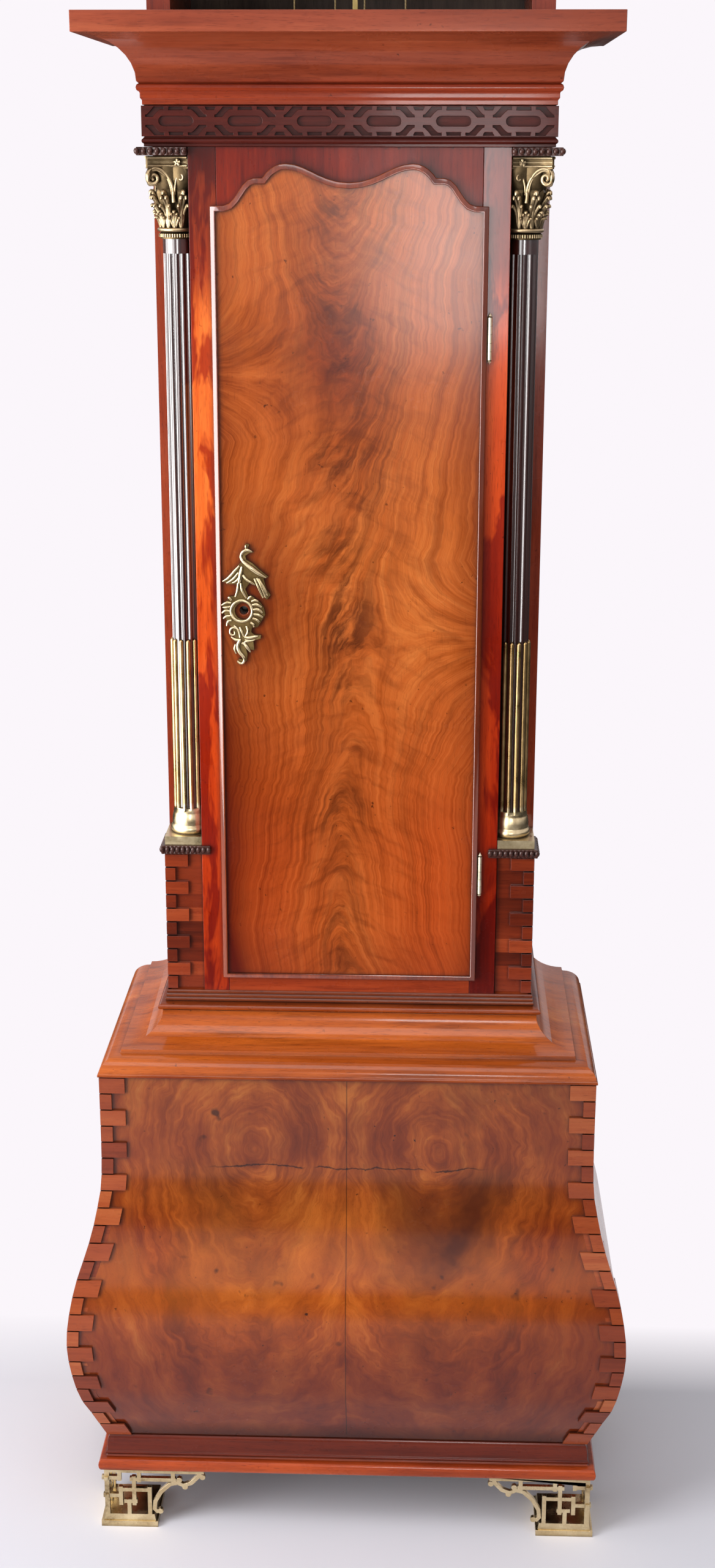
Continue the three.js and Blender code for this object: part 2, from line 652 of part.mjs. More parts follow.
// Plan with rounded lobes carved along its front and outer side
function lobedPlan(x0, x1, y0, y1, lobes, depth) {
  const points = [[x0, y1], [x0, y0]];
  const steps = lobes * 2;
  for (let i = 1; i < steps; i += 1) {
    points.push([x0 + ((x1 - x0) * i) / steps, y0 + depth * (1 - (i % 2))]);
  }
  points.push([x1, y0]);
  for (let i = 1; i < steps; i += 1) {
    points.push([x1 - depth * (1 - (i % 2)), y0 + ((y1 - y0) * i) / steps]);
  }
  points.push([x1, y1]);
  return points;
}

function addPads() {
  const inside = trunkHalfWidth - recessWidth + gap;
  const outside = trunkHalfWidth + pad.reach;
  const plan = lobedPlan(inside, outside, -pad.reach, recessDepth - gap, pad.lobes, pad.lobe);
  const main = lying(plan, padLevel, columnLevel - gap);
  const lap = box(inside - pad.lap, inside + overrun, -pad.reach, -gap, padLevel, columnLevel - gap);
  placePair('column_pad', join(main, lap), colours.carved, 0.6);
}

const [columnX, columnY] = [trunkHalfWidth - columnInset, columnInset];
const fluteTurn = (i) => -Math.PI / 4 + ((i - (stopRod.count - 1) / 2) * 2 * Math.PI) / flute.count;

// The part of a round piece that stands clear of the stile and of the recess's back wall
function withinRecess(piece, bottom, top) {
  const inner = trunkHalfWidth - recessWidth + gap;
  const far = trunkHalfWidth + columnInset;
  const byStile = box(inner - columnInset, inner, -far, far, bottom - overrun, top + overrun);
  const atBack = box(0, far, recessDepth - gap, far, bottom - overrun, top + overrun);
  return cut(piece, byStile, atBack);
}

function addColumnBases() {
  const at = (share) => turnedLevel + (columnBaseHeight - gap) * share;
  const wide = columnPlinthHalf;
  const plinthBox = box(
    columnX - wide, columnX + wide, columnY - wide, columnY + wide, columnLevel, turnedLevel,
  );
  const profile = [
    [0, turnedLevel - overrun], [wide * 0.76, turnedLevel - overrun],
    ...roundShares(wide * 0.76, wide * 0.07, at(0.02), at(0.3), 4), [wide * 0.755, at(0.36)],
    [wide * 0.765, at(0.46)], [wide * 0.75, at(0.6)], [wide * 0.71, at(0.76)], [wide * 0.68, at(0.8)],
    [wide * 0.7, at(0.85)], [wide * 0.68, at(0.9)], [wide * 0.68, at(1)], [0, at(1)],
  ];
  const rods = Array.from({ length: stopRod.count }, (_, i) => {
    const turn = fluteTurn(i);
    const out = columnRadius + flute.sink;
    const top = shaftLevel + stopRod.height;
    const rod = stopRod.radius;
    return turned(
      [[0, shaftLevel - stopRod.root], [rod, shaftLevel - stopRod.root], [rod, top], [0, top + rod]],
      columnX + Math.cos(turn) * out, columnY + Math.sin(turn) * out, 8,
    );
  });
  const whole = join(plinthBox, turned(profile, columnX, columnY, 24), ...rods);
  const trimmed = withinRecess(whole, columnLevel, shaftLevel + stopRod.height);
  placePair('column_base', trimmed, colours.brass, 0.3, 1);
}

function addShafts() {
  const top = capitalLevel - gap;
  const plain = barAlongZ(columnRadius, columnX, columnY, shaftLevel, top, 30);
  const flutes = Array.from({ length: flute.count }, (_, i) => {
    const turn = fluteTurn(i);
    const out = columnRadius + flute.sink;
    const end = top - flute.end;
    const r = flute.radius;
    return turned(
      [[0, shaftLevel - overrun], [r, shaftLevel - overrun], [r, end], [0, end + r]],
      columnX + Math.cos(turn) * out, columnY + Math.sin(turn) * out, 8,
    );
  });
  placePair('column_shaft', cut(plain, ...flutes), colours.dark);
}

// Rings of the leafy bell: height share, bell share, lift of the eight lower leaves, of the eight upper
// leaves between them, and of the four stalks under the corners
const capitalRingShares = [
  [0, 0.3, 0, 0, 0], [0.07, 0.45, 0, 0, 0], [0.1, 0, 0.3, 0, 0], [0.26, 0.05, 0.5, 0.1, 0],
  [0.36, 0.1, 1, 0.25, 0], [0.4, 0.1, 0.9, 0.3, 0], [0.43, 0.12, 0.05, 0.4, 0.1], [0.6, 0.25, 0, 1, 0.5],
  [0.65, 0.3, 0, 0.9, 0.6], [0.69, 0.4, 0, 0.05, 0.8], [0.84, 0.8, 0, 0, 1.3], [1, 1, 0, 0, 1.1],
];

function addCapitals() {
  const top = blockLevel - gap;
  const under = top - capital.abacusHeight;
  const steps = 32;
  const lobe = (turn, count, phase) => Math.sqrt(0.5 + 0.5 * Math.cos(count * (turn - phase)));
  const rings = capitalRingShares.map(([up, flare, lower, upper, stalk]) => (
    Array.from({ length: steps }, (_, i) => {
      const turn = (i * 2 * Math.PI) / steps;
      const leaves = lower * lobe(turn, 8, 0) + upper * lobe(turn, 8, Math.PI / 8);
      const lift = capital.leafLift * (leaves + stalk * lobe(turn, 4, Math.PI / 4));
      const radius = columnRadius + (capital.bellTop - columnRadius) * flare + lift;
      const height = capitalLevel + (under + overrun - capitalLevel) * up;
      return [columnX + radius * Math.cos(turn), columnY + radius * Math.sin(turn), height];
    })
  ));
  const side = Array.from({ length: 5 }, (_, i) => {
    const across = (i / 4) * 2 - 1;
    const reach = capital.abacusHalf - capital.corner / 2;
    return [across * reach, -capital.abacusHalf + capital.abacusHollow * (1 - across * across)];
  });
  const plan = [0, 1, 2, 3].flatMap((quarter) => side.map(([x, y]) => {
    const spun = new THREE.Vector2(x, y).rotateAround(new THREE.Vector2(), (quarter * Math.PI) / 2);
    return [columnX + spun.x, columnY + spun.y];
  }));
  const volutes = [0, 2, 3].map((quarter) => {
    const radius = quarter === 2 ? capital.innerVolute : capital.volute;
    const turn = Math.PI / 4 + (quarter * Math.PI) / 2;
    const out = quarter === 2 ? capital.abacusHalf - radius : capital.abacusHalf * Math.SQRT2 - radius * 1.25;
    return new THREE.CylinderGeometry(radius, radius, capital.voluteWidth, 9)
      .translate(out, 0, under - radius * 0.7).rotateZ(turn).translate(columnX, columnY, 0);
  });
  const bellPiece = skinned(rings, rings[0].map(([x, y]) => [x, y]));
  const whole = join(bellPiece, lying(plan, under, top), ...volutes);
  placePair('capital', withinRecess(whole, capitalLevel, top), colours.brass, 0.35, 1);
}

function addCapitalBlocks() {
  const inside = trunkHalfWidth - recessWidth + gap;
  const outside = trunkHalfWidth + block.reach;
  const plan = lobedPlan(inside, outside, -block.reach, recessDepth - gap, block.lobes, block.lobe);
  placePair('capital_block', lying(plan, blockLevel, bedLevel - gap), colours.carved, 0.6);
}

const entablatureInner = -sideRebate + gap;

function addFrieze() {
  const at = (share) => bedLevel + bedHeight * share;
  place('frieze_board', wrapped([
    [entablatureInner, bedLevel], [bedReach * 0.5, bedLevel], [bedReach * 0.5, at(0.3)],
    ...roundShares(bedReach * 0.7, bedReach * 0.3, at(0.35), at(0.8), 4), [friezeReach, at(1)],
    [friezeReach, coveLevel - gap], [entablatureInner, coveLevel - gap],
  ]), colours.carved);
}

// Openings of one cell of the blind fret, as shares of the cell's half width and half height
const fretOvalShares = [
  [-0.46, 0], [-0.36, 0.28], [0.36, 0.28], [0.46, 0], [0.36, -0.28], [-0.36, -0.28],
];
const fretElbowShares = [[0.9, 0.28], [0.88, 0.44], [0.68, 0.92], [0.42, 0.92], [0.58, 0.72], [0.74, 0.28]];
function fretPanel(length, cells, y0, y1, height, start) {
  const cell = length / cells;
  const holes = Array.from({ length: cells }, (_, i) => {
    const [cx, cz] = [start + cell * (i + 0.5), height / 2];
    const [hx, hz] = [cell / 2, height / 2 - fret.border];
    const oval = fretOvalShares.map(([x, z]) => [cx + x * hx, cz + z * hz]);
    const elbows = [[1, 1], [-1, 1], [-1, -1], [1, -1]].map(([sx, sz]) => (
      fretElbowShares.map(([x, z]) => [cx + sx * x * hx, cz + sz * z * hz])
    ));
    return [oval, ...elbows];
  }).flat();
  const outline = [[start, 0], [start + length, 0], [start + length, height], [start, height]];
  return cut(standing(outline, y0, y1), ...holes.map((hole) => standing(hole, y0 - overrun, y1 + overrun)));
}

function addFret() {
  const height = friezeHeight - gap * 2;
  const half = trunkHalfWidth + friezeReach + gap;
  const faceY = -friezeReach - gap - fretRelief;
  const front = fretPanel(half * 2, fret.cells, faceY, -friezeReach - gap, height, -half);
  const length = caseDepth + friezeReach;
  const side = fretPanel(length, fret.sideCells, -fretRelief, 0, height, 0)
    .rotateZ(Math.PI / 2).translate(half, -friezeReach, 0);
  const corner = box(half - gap, half + fretRelief, faceY, -friezeReach + gap, 0, height);
  const whole = join(front, side, corner, mirrored(side), mirrored(corner));
  place('frieze_fret', whole.translate(0, 0, friezeLevel), colours.dark);
}

function addCornice() {
  const at = (share) => coveLevel + coveHeight * share;
  const reach = (share) => coveReach * share;
  const hollow = arcShares([reach(0.13), at(0.34)], [coveReach, corniceLevel], -1, 8);
  place('cornice', wrapped([
    [entablatureInner, coveLevel], [reach(0.05), coveLevel], [reach(0.05), at(0.07)], [reach(0.08), at(0.1)],
    [reach(0.08), at(0.17)], ...roundShares(reach(0.09), reach(0.05), at(0.19), at(0.31), 4), ...hollow,
    [corniceReach, corniceLevel], [corniceReach, corniceTop], [entablatureInner, corniceTop],
  ]), colours.mahogany);
}

// Door: the lap lies in front of the stiles and rails, and the body fills the opening
const doorFace = -doorProud;
const doorBack = doorBody;
const boltBack = doorBack + gap + lock.wall + bolt.thickness;
function addDoor() {
  const outline = doorOutline();
  const lap = standing(outline, doorFace, -gap);
  const body = standing(insetOutline(outline, doorLap + doorPlay), -gap - overrun / 2, doorBack);
  const bodyEdge = doorHalf - doorLap - doorPlay;
  const rebates = hingeLevels.flatMap((level) => leafStrips(level, bodyEdge, -gap, true, gap));
  const eye = escutcheonCentre();
  const keyhole = barAlongY(escutcheon.keyhole, eye[0], eye[1], doorFace - overrun, doorBack + overrun, 12);
  place('door', cut(join(lap, body), ...rebates, keyhole), colours.flame, 0.35);
  const rim = standing(
    insetOutline(outline, gap), doorFace - gap - doorBeadProud, doorFace - gap,
    [insetOutline(outline, doorBead).reverse()],
  );
  place('door_moulding', rim, colours.mahogany);
}

function escutcheonCentre() {
  return [-doorHalf + escutcheon.inset, lockLevel];
}

function addEscutcheon() {
  const [x, z] = escutcheonCentre();
  const outline = escutcheonShares.map(([u, v]) => [
    x + u * escutcheon.height, z + (v - escutcheonEyeShare) * escutcheon.height,
  ]);
  const hole = Array.from({ length: 16 }, (_, i) => {
    const turn = (i * Math.PI) / 8;
    return [x + Math.cos(turn) * escutcheon.hole, z + Math.sin(turn) * escutcheon.hole];
  });
  place('escutcheon', standing(
    outline, doorFace - gap - escutcheon.thickness, doorFace - gap, [hole],
  ), colours.brass, 0.3, 1);
}

function addLock() {
  const left = -(doorOpeningHalf - lock.setback);
  const front = doorBack + gap;
  const back = front + lock.depth;
  const caseBox = box(left, left + lock.width, front, back, lockLevel - lock.below, lockLevel + lock.above);
  const half = bolt.height / 2 + bolt.play;
  const boltFront = boltBack - bolt.thickness;
  const channel = box(
    left - overrun, left + bolt.length + bolt.play, boltFront - bolt.play, boltBack + bolt.play,
    boltLevel - half, boltLevel + half,
  );
  const [eyeX, eyeZ] = escutcheonCentre();
  const keyway = barAlongY(escutcheon.keyhole, eyeX, eyeZ, front - overrun, front + lock.depth / 2, 10);
  place('lock_case', cut(caseBox, channel, keyway), colours.steel, 0.5, 1);
  const [low, high] = [boltLevel - bolt.height / 2, boltLevel + bolt.height / 2];
  const plain = box(left, left + bolt.length, boltFront, boltBack, low, high);
  place('lock_bolt', plain, colours.brass, 0.4, 1);
}

// Butt hinge: the frame leaf carries the odd knuckles, the pin and its finials
function addHinges() {
  const [x, y] = hingeAxis;
  const pitch = hinge.length / hinge.knuckles;
  ['lower', 'upper'].forEach((name, which) => {
    const level = hingeLevels[which];
    const low = level - hinge.length / 2;
    const knuckle = (i) => [low + pitch * i + gap / 2, low + pitch * (i + 1) - gap / 2];
    const odd = [0, 2, 4].map((i) => barAlongZ(hinge.knuckle, x, y, ...knuckle(i), 10));
    const webs = [0, 2, 4].map((i) => box(
      x - hinge.web / 2, x + hinge.web / 2, y, hinge.leaf, ...knuckle(i),
    ));
    const finial = (end, way) => turned([
      [0, end - way * overrun], [hinge.knuckle * 0.7, end - way * overrun], [hinge.knuckle * 0.7, end],
      ...roundShares(hinge.knuckle * 0.3, hinge.knuckle * 0.6, end, end + way * hinge.finial * 0.7, 2),
      [0, end + way * hinge.finial],
    ], x, y, 8);
    const pin = barAlongZ(hinge.pin, x, y, low, low + hinge.length, 8);
    const frameStrips = leafStrips(level, doorOpeningHalf + gap, hinge.leaf, false, 0);
    place(`hinge_${name}_frame_leaf`, join(
      pin, ...odd, ...webs, ...frameStrips, finial(low, -1), finial(low + hinge.length, 1),
    ), colours.brass, 0.35, 1);
    const bodyEdge = doorHalf - doorLap - doorPlay;
    const even = [1, 3].map((i) => barAlongZ(hinge.knuckle, x, y, ...knuckle(i), 10));
    const arms = [1, 3].map((i) => box(
      x - hinge.knuckle * 0.98, x - hinge.pin * 1.6, y, -gap, ...knuckle(i),
    ));
    const doorStrips = leafStrips(level, bodyEdge - gap, -gap, true, 0);
    const free = barAlongZ(hinge.bore, x, y, low - overrun, low + hinge.length + overrun, 8);
    const room = [0, 2, 4].map((i) => barAlongZ(
      hinge.knuckle + gap, x, y, knuckle(i)[0] - gap, knuckle(i)[1] + gap, 10,
    ));
    const doorLeaf = cut(join(...even, ...arms, ...doorStrips), free, ...room);
    place(`hinge_${name}_door_leaf`, doorLeaf, colours.brass, 0.35, 1);
  });
}

function addBackboard() {
  const levels = heights(baseLevel, throatLevel, 16);
  const foot0 = plinthLevel + gap;
  const right = [
    [trunkHalfWidth + plinthReach - plinthRing, foot0], ...levels.map((z) => [baseHalf(z) - quoinProud, z]),
    [trunkHalfWidth, throatLevel], [trunkHalfWidth, seatLevel + seatThickness],
    [dial.half, seatLevel + seatThickness + dial.half / 2], [dial.half, movementLevel + backRise],
  ];
  const outline = [...right, ...right.slice().reverse().map(([x, z]) => [-x, z])];
  place('backboard', standing(outline, caseDepth + gap, caseDepth + backThickness), colours.oak, 0.85);
}

const movementBack = movement.front + movement.depth;
const fallReach = pulley.groove + gap * 2 + gutRadius;
const pendulumY = movementBack + pendulum.setback;

// Each line leaves its barrel on the viewer's left, so both are wound clockwise
function lineX(side) {
  return side * movement.barrelOut - barrel.drum - gap - gutRadius;
}

function addSeatboard() {
  const half = trunkHalfWidth - seat.end;
  const plank = box(-half, half, seat.front, caseDepth - seat.back, seatLevel, movementLevel - gap);
  const slots = [-1, 1].map((side) => {
    const x = lineX(side);
    return box(
      x - seat.slotMargin, x + seat.slotMargin, gutSetback - seat.slotMargin, gutSetback + seat.slotMargin,
      seatLevel - overrun, movementLevel + overrun,
    );
  });
  const room = pendulum.bobThickness / 3;
  const swing = box(
    -seat.pendulumSlot, seat.pendulumSlot, pendulumY - room, pendulumY + room,
    seatLevel - overrun, movementLevel + overrun,
  );
  place('seatboard', cut(plank, ...slots, swing), colours.oak, 0.8);
}

const arborLevel = movementLevel + movement.arborHeight;
const barrelLevel = movementLevel + movement.barrelHeight;
const palletLevel = movementLevel + movement.palletHeight;
const escapeLevel = palletLevel - escape.drop;

function addMovementFrame() {
  const { halfWidth, height, plate, front, pillar, pillarInset } = movement;
  const plateTop = movementLevel + height;
  const frontPlate = box(-halfWidth, halfWidth, front, front + plate, movementLevel, plateTop);
  const backPlate = box(-halfWidth, halfWidth, movementBack - plate, movementBack, movementLevel, plateTop);
  const [near, far] = [front + plate / 2, movementBack - plate / 2];
  const pillars = [-1, 1].flatMap((side) => [pillarInset, height - pillarInset].map((up) => barAlongY(
    pillar, side * (halfWidth - pillarInset), movementLevel + up, near, far, 8,
  )));
  const hole = (radius, x, z) => barAlongY(radius, x, z, front - overrun, movementBack + overrun, 8);
  const bores = [
    ...[-1, 1].map((side) => hole(barrel.arbor + pivotPlay, side * movement.barrelOut, barrelLevel)),
    hole(arborRadius + pivotPlay, 0, arborLevel), hole(pivotRadius + pivotPlay, 0, palletLevel),
    hole(pivotRadius + pivotPlay, 0, escapeLevel),
    hole(pivotRadius + pivotPlay, hammer.out, movementLevel + height - hammer.drop),
  ];
  const cockBase = palletLevel + cock.rise;
  const bridge = box(
    -cock.halfWidth, cock.halfWidth, far, movementBack + cock.reach, cockBase, cockBase + cock.height,
  );
  const whole = join(cut(join(frontPlate, backPlate, ...pillars), ...bores), bridge);
  place('movement_frame', whole, colours.brass, 0.35, 1);
}

function addBarrels() {
  [['going_barrel', 1], ['strike_barrel', -1]].forEach(([name, side]) => {
    const x = side * movement.barrelOut;
    const inner = movement.front + movement.plate + barrel.offset / 2;
    const end = inner + barrel.length;
    const drum = barAlongY(barrel.drum, x, barrelLevel, inner, end, 20);
    const wheel = barAlongY(barrel.wheel, x, barrelLevel, end, end + barrel.wheelThickness, 30);
    const arbor = barAlongY(barrel.arbor, x, barrelLevel, dial.front - overrun, movementBack - gap, 8);
    place(name, join(drum, wheel, arbor), colours.brass, 0.35, 1);
  });
}

function addEscapement() {
  const [inner, outer] = [movement.front + gap, movementBack - gap];
  const tip = escape.radius;
  const root = escape.radius - escape.tooth;
  const teeth = Array.from({ length: escape.teeth }, (_, i) => {
    const turn = (i * 2 * Math.PI) / escape.teeth;
    const lean = (2 * Math.PI) / escape.teeth;
    return [[root, turn], [tip, turn + lean * 0.3], [root, turn + lean * 0.45]].map(([r, angle]) => [
      Math.cos(angle) * r, escapeLevel + Math.sin(angle) * r,
    ]);
  }).flat();
  const wheelY = movement.front + movement.plate + escape.offset;
  place('escape_wheel', join(
    standing(teeth, wheelY, wheelY + escape.thickness),
    barAlongY(pivotRadius, 0, escapeLevel, inner, outer, 10),
  ), colours.brass, 0.35, 1);

  const reach = pallet.arm;
  const base = -pallet.armWidth;
  const anchor = [
    [-reach, base - pallet.nib], [-reach + pallet.armWidth, base - pallet.nib],
    [-reach + pallet.armWidth, base], [0, -pallet.armWidth / 2], [reach - pallet.armWidth, base],
    [reach - pallet.armWidth, base - pallet.nib], [reach, base - pallet.nib], [reach, pallet.armWidth / 2],
    [0, pallet.armWidth], [-reach, pallet.armWidth / 2],
  ].map(([x, z]) => [x, palletLevel + z]);
  const anchorPiece = standing(anchor, wheelY - gap, wheelY + pallet.thickness);
  const crutchFront = movementBack + crutch.fork;
  const arbor = barAlongY(pivotRadius, 0, palletLevel, inner, crutchFront + crutch.thickness, 10);
  const bottom = palletLevel - crutch.length;
  const half = crutch.width / 2;
  const stem = box(-half, half, crutchFront, crutchFront + crutch.thickness, bottom, palletLevel + half);
  const tines = [-1, 1].map((side) => {
    const inside = pendulum.rod / 2 + pivotPlay;
    const [a, b] = [side * inside, side * (inside + crutch.fork)];
    const back = pendulumY + crutch.forkDepth / 3;
    return box(Math.min(a, b), Math.max(a, b), crutchFront, back, bottom, bottom + crutch.width);
  });
  const bridge = box(
    -pendulum.rod / 2 - pivotPlay - crutch.fork, pendulum.rod / 2 + pivotPlay + crutch.fork,
    crutchFront, crutchFront + crutch.thickness, bottom, bottom + crutch.width,
  );
  place('pallet_arbor', join(anchorPiece, arbor, stem, bridge, ...tines), colours.steel, 0.4, 1);
}

function addPendulum() {
  const top = palletLevel + cock.rise - gap;
  const [half, thin] = [pendulum.rod / 2, pendulum.rodThickness / 2];
  const springEnd = palletLevel - pendulum.spring;
  const centre = palletLevel - pendulum.length;
  const leaf = pendulum.springThickness / 2;
  const spring = box(-half, half, pendulumY - leaf, pendulumY + leaf, springEnd - overrun, top);
  const rodEnd = centre - pendulum.bob - pendulum.tail;
  const rod = box(-half, half, pendulumY - thin, pendulumY + thin, rodEnd, springEnd);
  const rim = pendulum.bobThickness * 0.08;
  const lens = [
    [0, -pendulum.bobThickness / 2], [pendulum.bob * 0.55, -pendulum.bobThickness * 0.38],
    [pendulum.bob * 0.9, -pendulum.bobThickness * 0.2], [pendulum.bob, -rim], [pendulum.bob, rim],
    [pendulum.bob * 0.9, pendulum.bobThickness * 0.2], [pendulum.bob * 0.55, pendulum.bobThickness * 0.38],
    [0, pendulum.bobThickness / 2],
  ];
  const bobPiece = new THREE.LatheGeometry(lens.map(([r, y]) => new THREE.Vector2(r, y)), 24)
    .translate(0, pendulumY, centre);
  const nutTop = centre - pendulum.bob - pendulum.nutHeight;
  const nut = barAlongZ(pendulum.nut, 0, pendulumY, nutTop - pendulum.nutHeight, nutTop, 8);
  place('pendulum', join(spring, rod, bobPiece, nut), colours.brass, 0.35, 1);
}

function addWeights() {
  const pulleyLevel = seatLevel - pulley.hang - weight.travel;
  [['going', 1], ['strike', -1]].forEach(([name, side]) => {
    const x = lineX(side) + fallReach;
    const y = gutSetback;
    const halfWidth = pulley.width / 2;
    const wheel = new THREE.LatheGeometry([
      [pulley.axle + gap, -halfWidth], [pulley.flange, -halfWidth], [pulley.groove, -halfWidth + pulley.lip],
      [pulley.groove, halfWidth - pulley.lip], [pulley.flange, halfWidth], [pulley.axle + gap, halfWidth],
      [pulley.axle + gap, -halfWidth],
    ].map(([r, w]) => new THREE.Vector2(r, w)), 20).translate(x, y, pulleyLevel);
    place(`${name}_pulley`, wheel, colours.brass, 0.35, 1);

    const near = halfWidth + stirrup.play;
    const far = near + stirrup.plate;
    const low = pulleyLevel - stirrup.drop;
    const plates = [-1, 1].map((way) => {
      const [a, b] = [y + way * near, y + way * far];
      return box(
        x - stirrup.width / 2, x + stirrup.width / 2, Math.min(a, b), Math.max(a, b),
        low, pulleyLevel + stirrup.width / 2,
      );
    });
    const broad = stirrup.width / 2;
    const bridge = box(x - broad, x + broad, y - far, y + far, low, low + stirrup.neckRadius);
    const axle = barAlongY(pulley.axle, x, pulleyLevel, y - far, y + far, 8);
    const top = low - stirrup.neck;
    const bottom = top - weight.height;
    const body = turned([
      [0, bottom], [weight.radius - gap * 4, bottom], [weight.radius, bottom + gap * 4],
      [weight.radius, top - weight.dome], [weight.radius * 0.7, top - weight.dome * 0.3],
      [stirrup.neckRadius, top], [stirrup.neckRadius, low + gap], [0, low + gap],
    ], x, y, 18);
    place(`${name}_weight`, join(body, bridge, ...plates, axle), colours.lead, 0.5, 0.6);

    const start = new THREE.Vector3(x - fallReach, y, barrelLevel);
    const points = Array.from({ length: 9 }, (_, i) => {
      const angle = (i * Math.PI) / 8;
      return new THREE.Vector3(
        x - fallReach * Math.cos(angle), y, pulleyLevel - fallReach * Math.sin(angle),
      );
    });
    const stops = [start, ...points, new THREE.Vector3(x + fallReach, y, seatLevel - gap)];
    place(`${name}_gut_line`, gutTube(stops), colours.gut, 0.6);
  });
}

// Round tube through the stops, mitred at each bend, with flat ends
function gutTube(stops) {
  const sides = 8;
  const rings = stops.map((stop, i) => {
    const before = stops[Math.max(i - 1, 0)];
    const after = stops[Math.min(i + 1, stops.length - 1)];
    const one = stop.clone().sub(before).normalize();
    const two = after.clone().sub(stop).normalize();
    const ahead = one.add(two).normalize();
    const across = new THREE.Vector3(0, 1, 0);
    const other = new THREE.Vector3().crossVectors(ahead, across);
    return Array.from({ length: sides }, (_, k) => {
      const turn = (k * 2 * Math.PI) / sides;
      return stop.clone().addScaledVector(across, Math.cos(turn) * gutRadius)
        .addScaledVector(other, Math.sin(turn) * gutRadius).toArray();
    });
  });
  const outline = Array.from({ length: sides }, (_, k) => [
    Math.cos((k * 2 * Math.PI) / sides), Math.sin((k * 2 * Math.PI) / sides),
  ]);
  return skinned(rings, outline);
}

function addBell() {
  const crown = movementLevel + movement.height + bell.rise;
  const y = (movement.front + movementBack) / 2;
  const inner = bell.radius - bell.wall;
  const outerCurve = [0.3, 0.62, 0.85, 0.97, 1].map((share, i) => [
    bell.radius * share, crown - bell.height * [0, 0.12, 0.4, 0.75, 1][i],
  ]);
  const innerCurve = [1, 0.97, 0.85, 0.6].map((share, i) => [
    inner * share, crown - bell.wall - (bell.height - bell.wall) * [1, 0.75, 0.4, 0.1][i],
  ]);
  const shell = turned([[0, crown], ...outerCurve, ...innerCurve, [0, crown - bell.wall]], 0, y, 20);
  const post = barAlongZ(bell.post, 0, y, crown - overrun, crown + bell.armThickness, 8);
  const [back, behind] = [movementBack + gap, movementBack + gap + bell.armThickness];
  const [low, high] = [crown + bell.armThickness / 2, crown + bell.armThickness * 1.5];
  const half = bell.arm / 2;
  const arm = box(-half, half, y - half, behind, low, high);
  const beam = box(-bell.foot - half, half, back, behind, low, high);
  const plateTop = movementLevel + movement.height;
  const leg = box(-bell.foot - half, -bell.foot + half, back, behind, plateTop - half, high);
  const toe = box(
    -bell.foot - bell.arm, -bell.foot + bell.arm, back, behind, plateTop - bell.arm * 2, plateTop,
  );
  place('bell', join(shell, post, arm, beam, leg, toe), colours.bell, 0.3, 1);
}

function addHammer() {
  const y = (movement.front + movementBack) / 2;
  const pivot = movementLevel + movement.height - hammer.drop;
  const crown = movementLevel + movement.height + bell.rise;
  const strikeAt = crown - bell.height * 0.85;
  const faceX = bell.radius + hammer.clearance;
  const arbor = barAlongY(pivotRadius, hammer.out, pivot, movement.front + gap, movementBack - gap, 10);
  const half = hammer.stem / 2;
  const stem = box(hammer.out - half, hammer.out + half, y - half, y + half, pivot, strikeAt + half);
  const head = barAlongX(hammer.head, y, strikeAt, faceX, faceX + hammer.headLength, 14);
  place('bell_hammer', join(arbor, stem, head), colours.steel, 0.4, 1);
}

function addDial() {
  const bottom = arborLevel - dial.half;
  const top = bottom + dial.half * 2;
  const arch = Array.from({ length: 17 }, (_, i) => {
    const turn = (i * Math.PI) / 16;
    return [Math.cos(turn) * dial.archRadius, top + Math.sin(turn) * dial.archRadius];
  });
  const outline = [
    [-dial.half, bottom], [dial.half, bottom], [dial.half, top], ...arch, [-dial.half, top],
  ];
  const back = dial.front + dial.thickness;
  const plate = standing(outline, dial.front, back);
  const footReachY = movement.front - gap;
  const feet = [-1, 1].flatMap((side) => [dial.footUp, -dial.footDown].map((up) => barAlongY(
    dial.foot, side * dial.footOut, arborLevel + up, back - dial.thickness / 2, footReachY, 8,
  )));
  const round = (radius, count) => Array.from({ length: count }, (_, i) => {
    const turn = (i * 2 * Math.PI) / count;
    return [Math.cos(turn) * radius, arborLevel + Math.sin(turn) * radius];
  });
  const ring = standing(
    round(dial.ringOuter, 36), dial.front - dial.ringThickness, dial.front + dial.thickness / 2,
    [round(dial.ringInner, 36)],
  );
  const holes = [
    barAlongY(dial.hole, 0, arborLevel, dial.front - overrun * 2, back + overrun, 12),
    ...[-1, 1].map((side) => barAlongY(
      barrel.hole, side * movement.barrelOut, barrelLevel, dial.front - overrun * 2, back + overrun, 12,
    )),
  ];
  place('dial', cut(join(plate, ring, ...feet), ...holes), colours.dial, 0.4, 1);
}

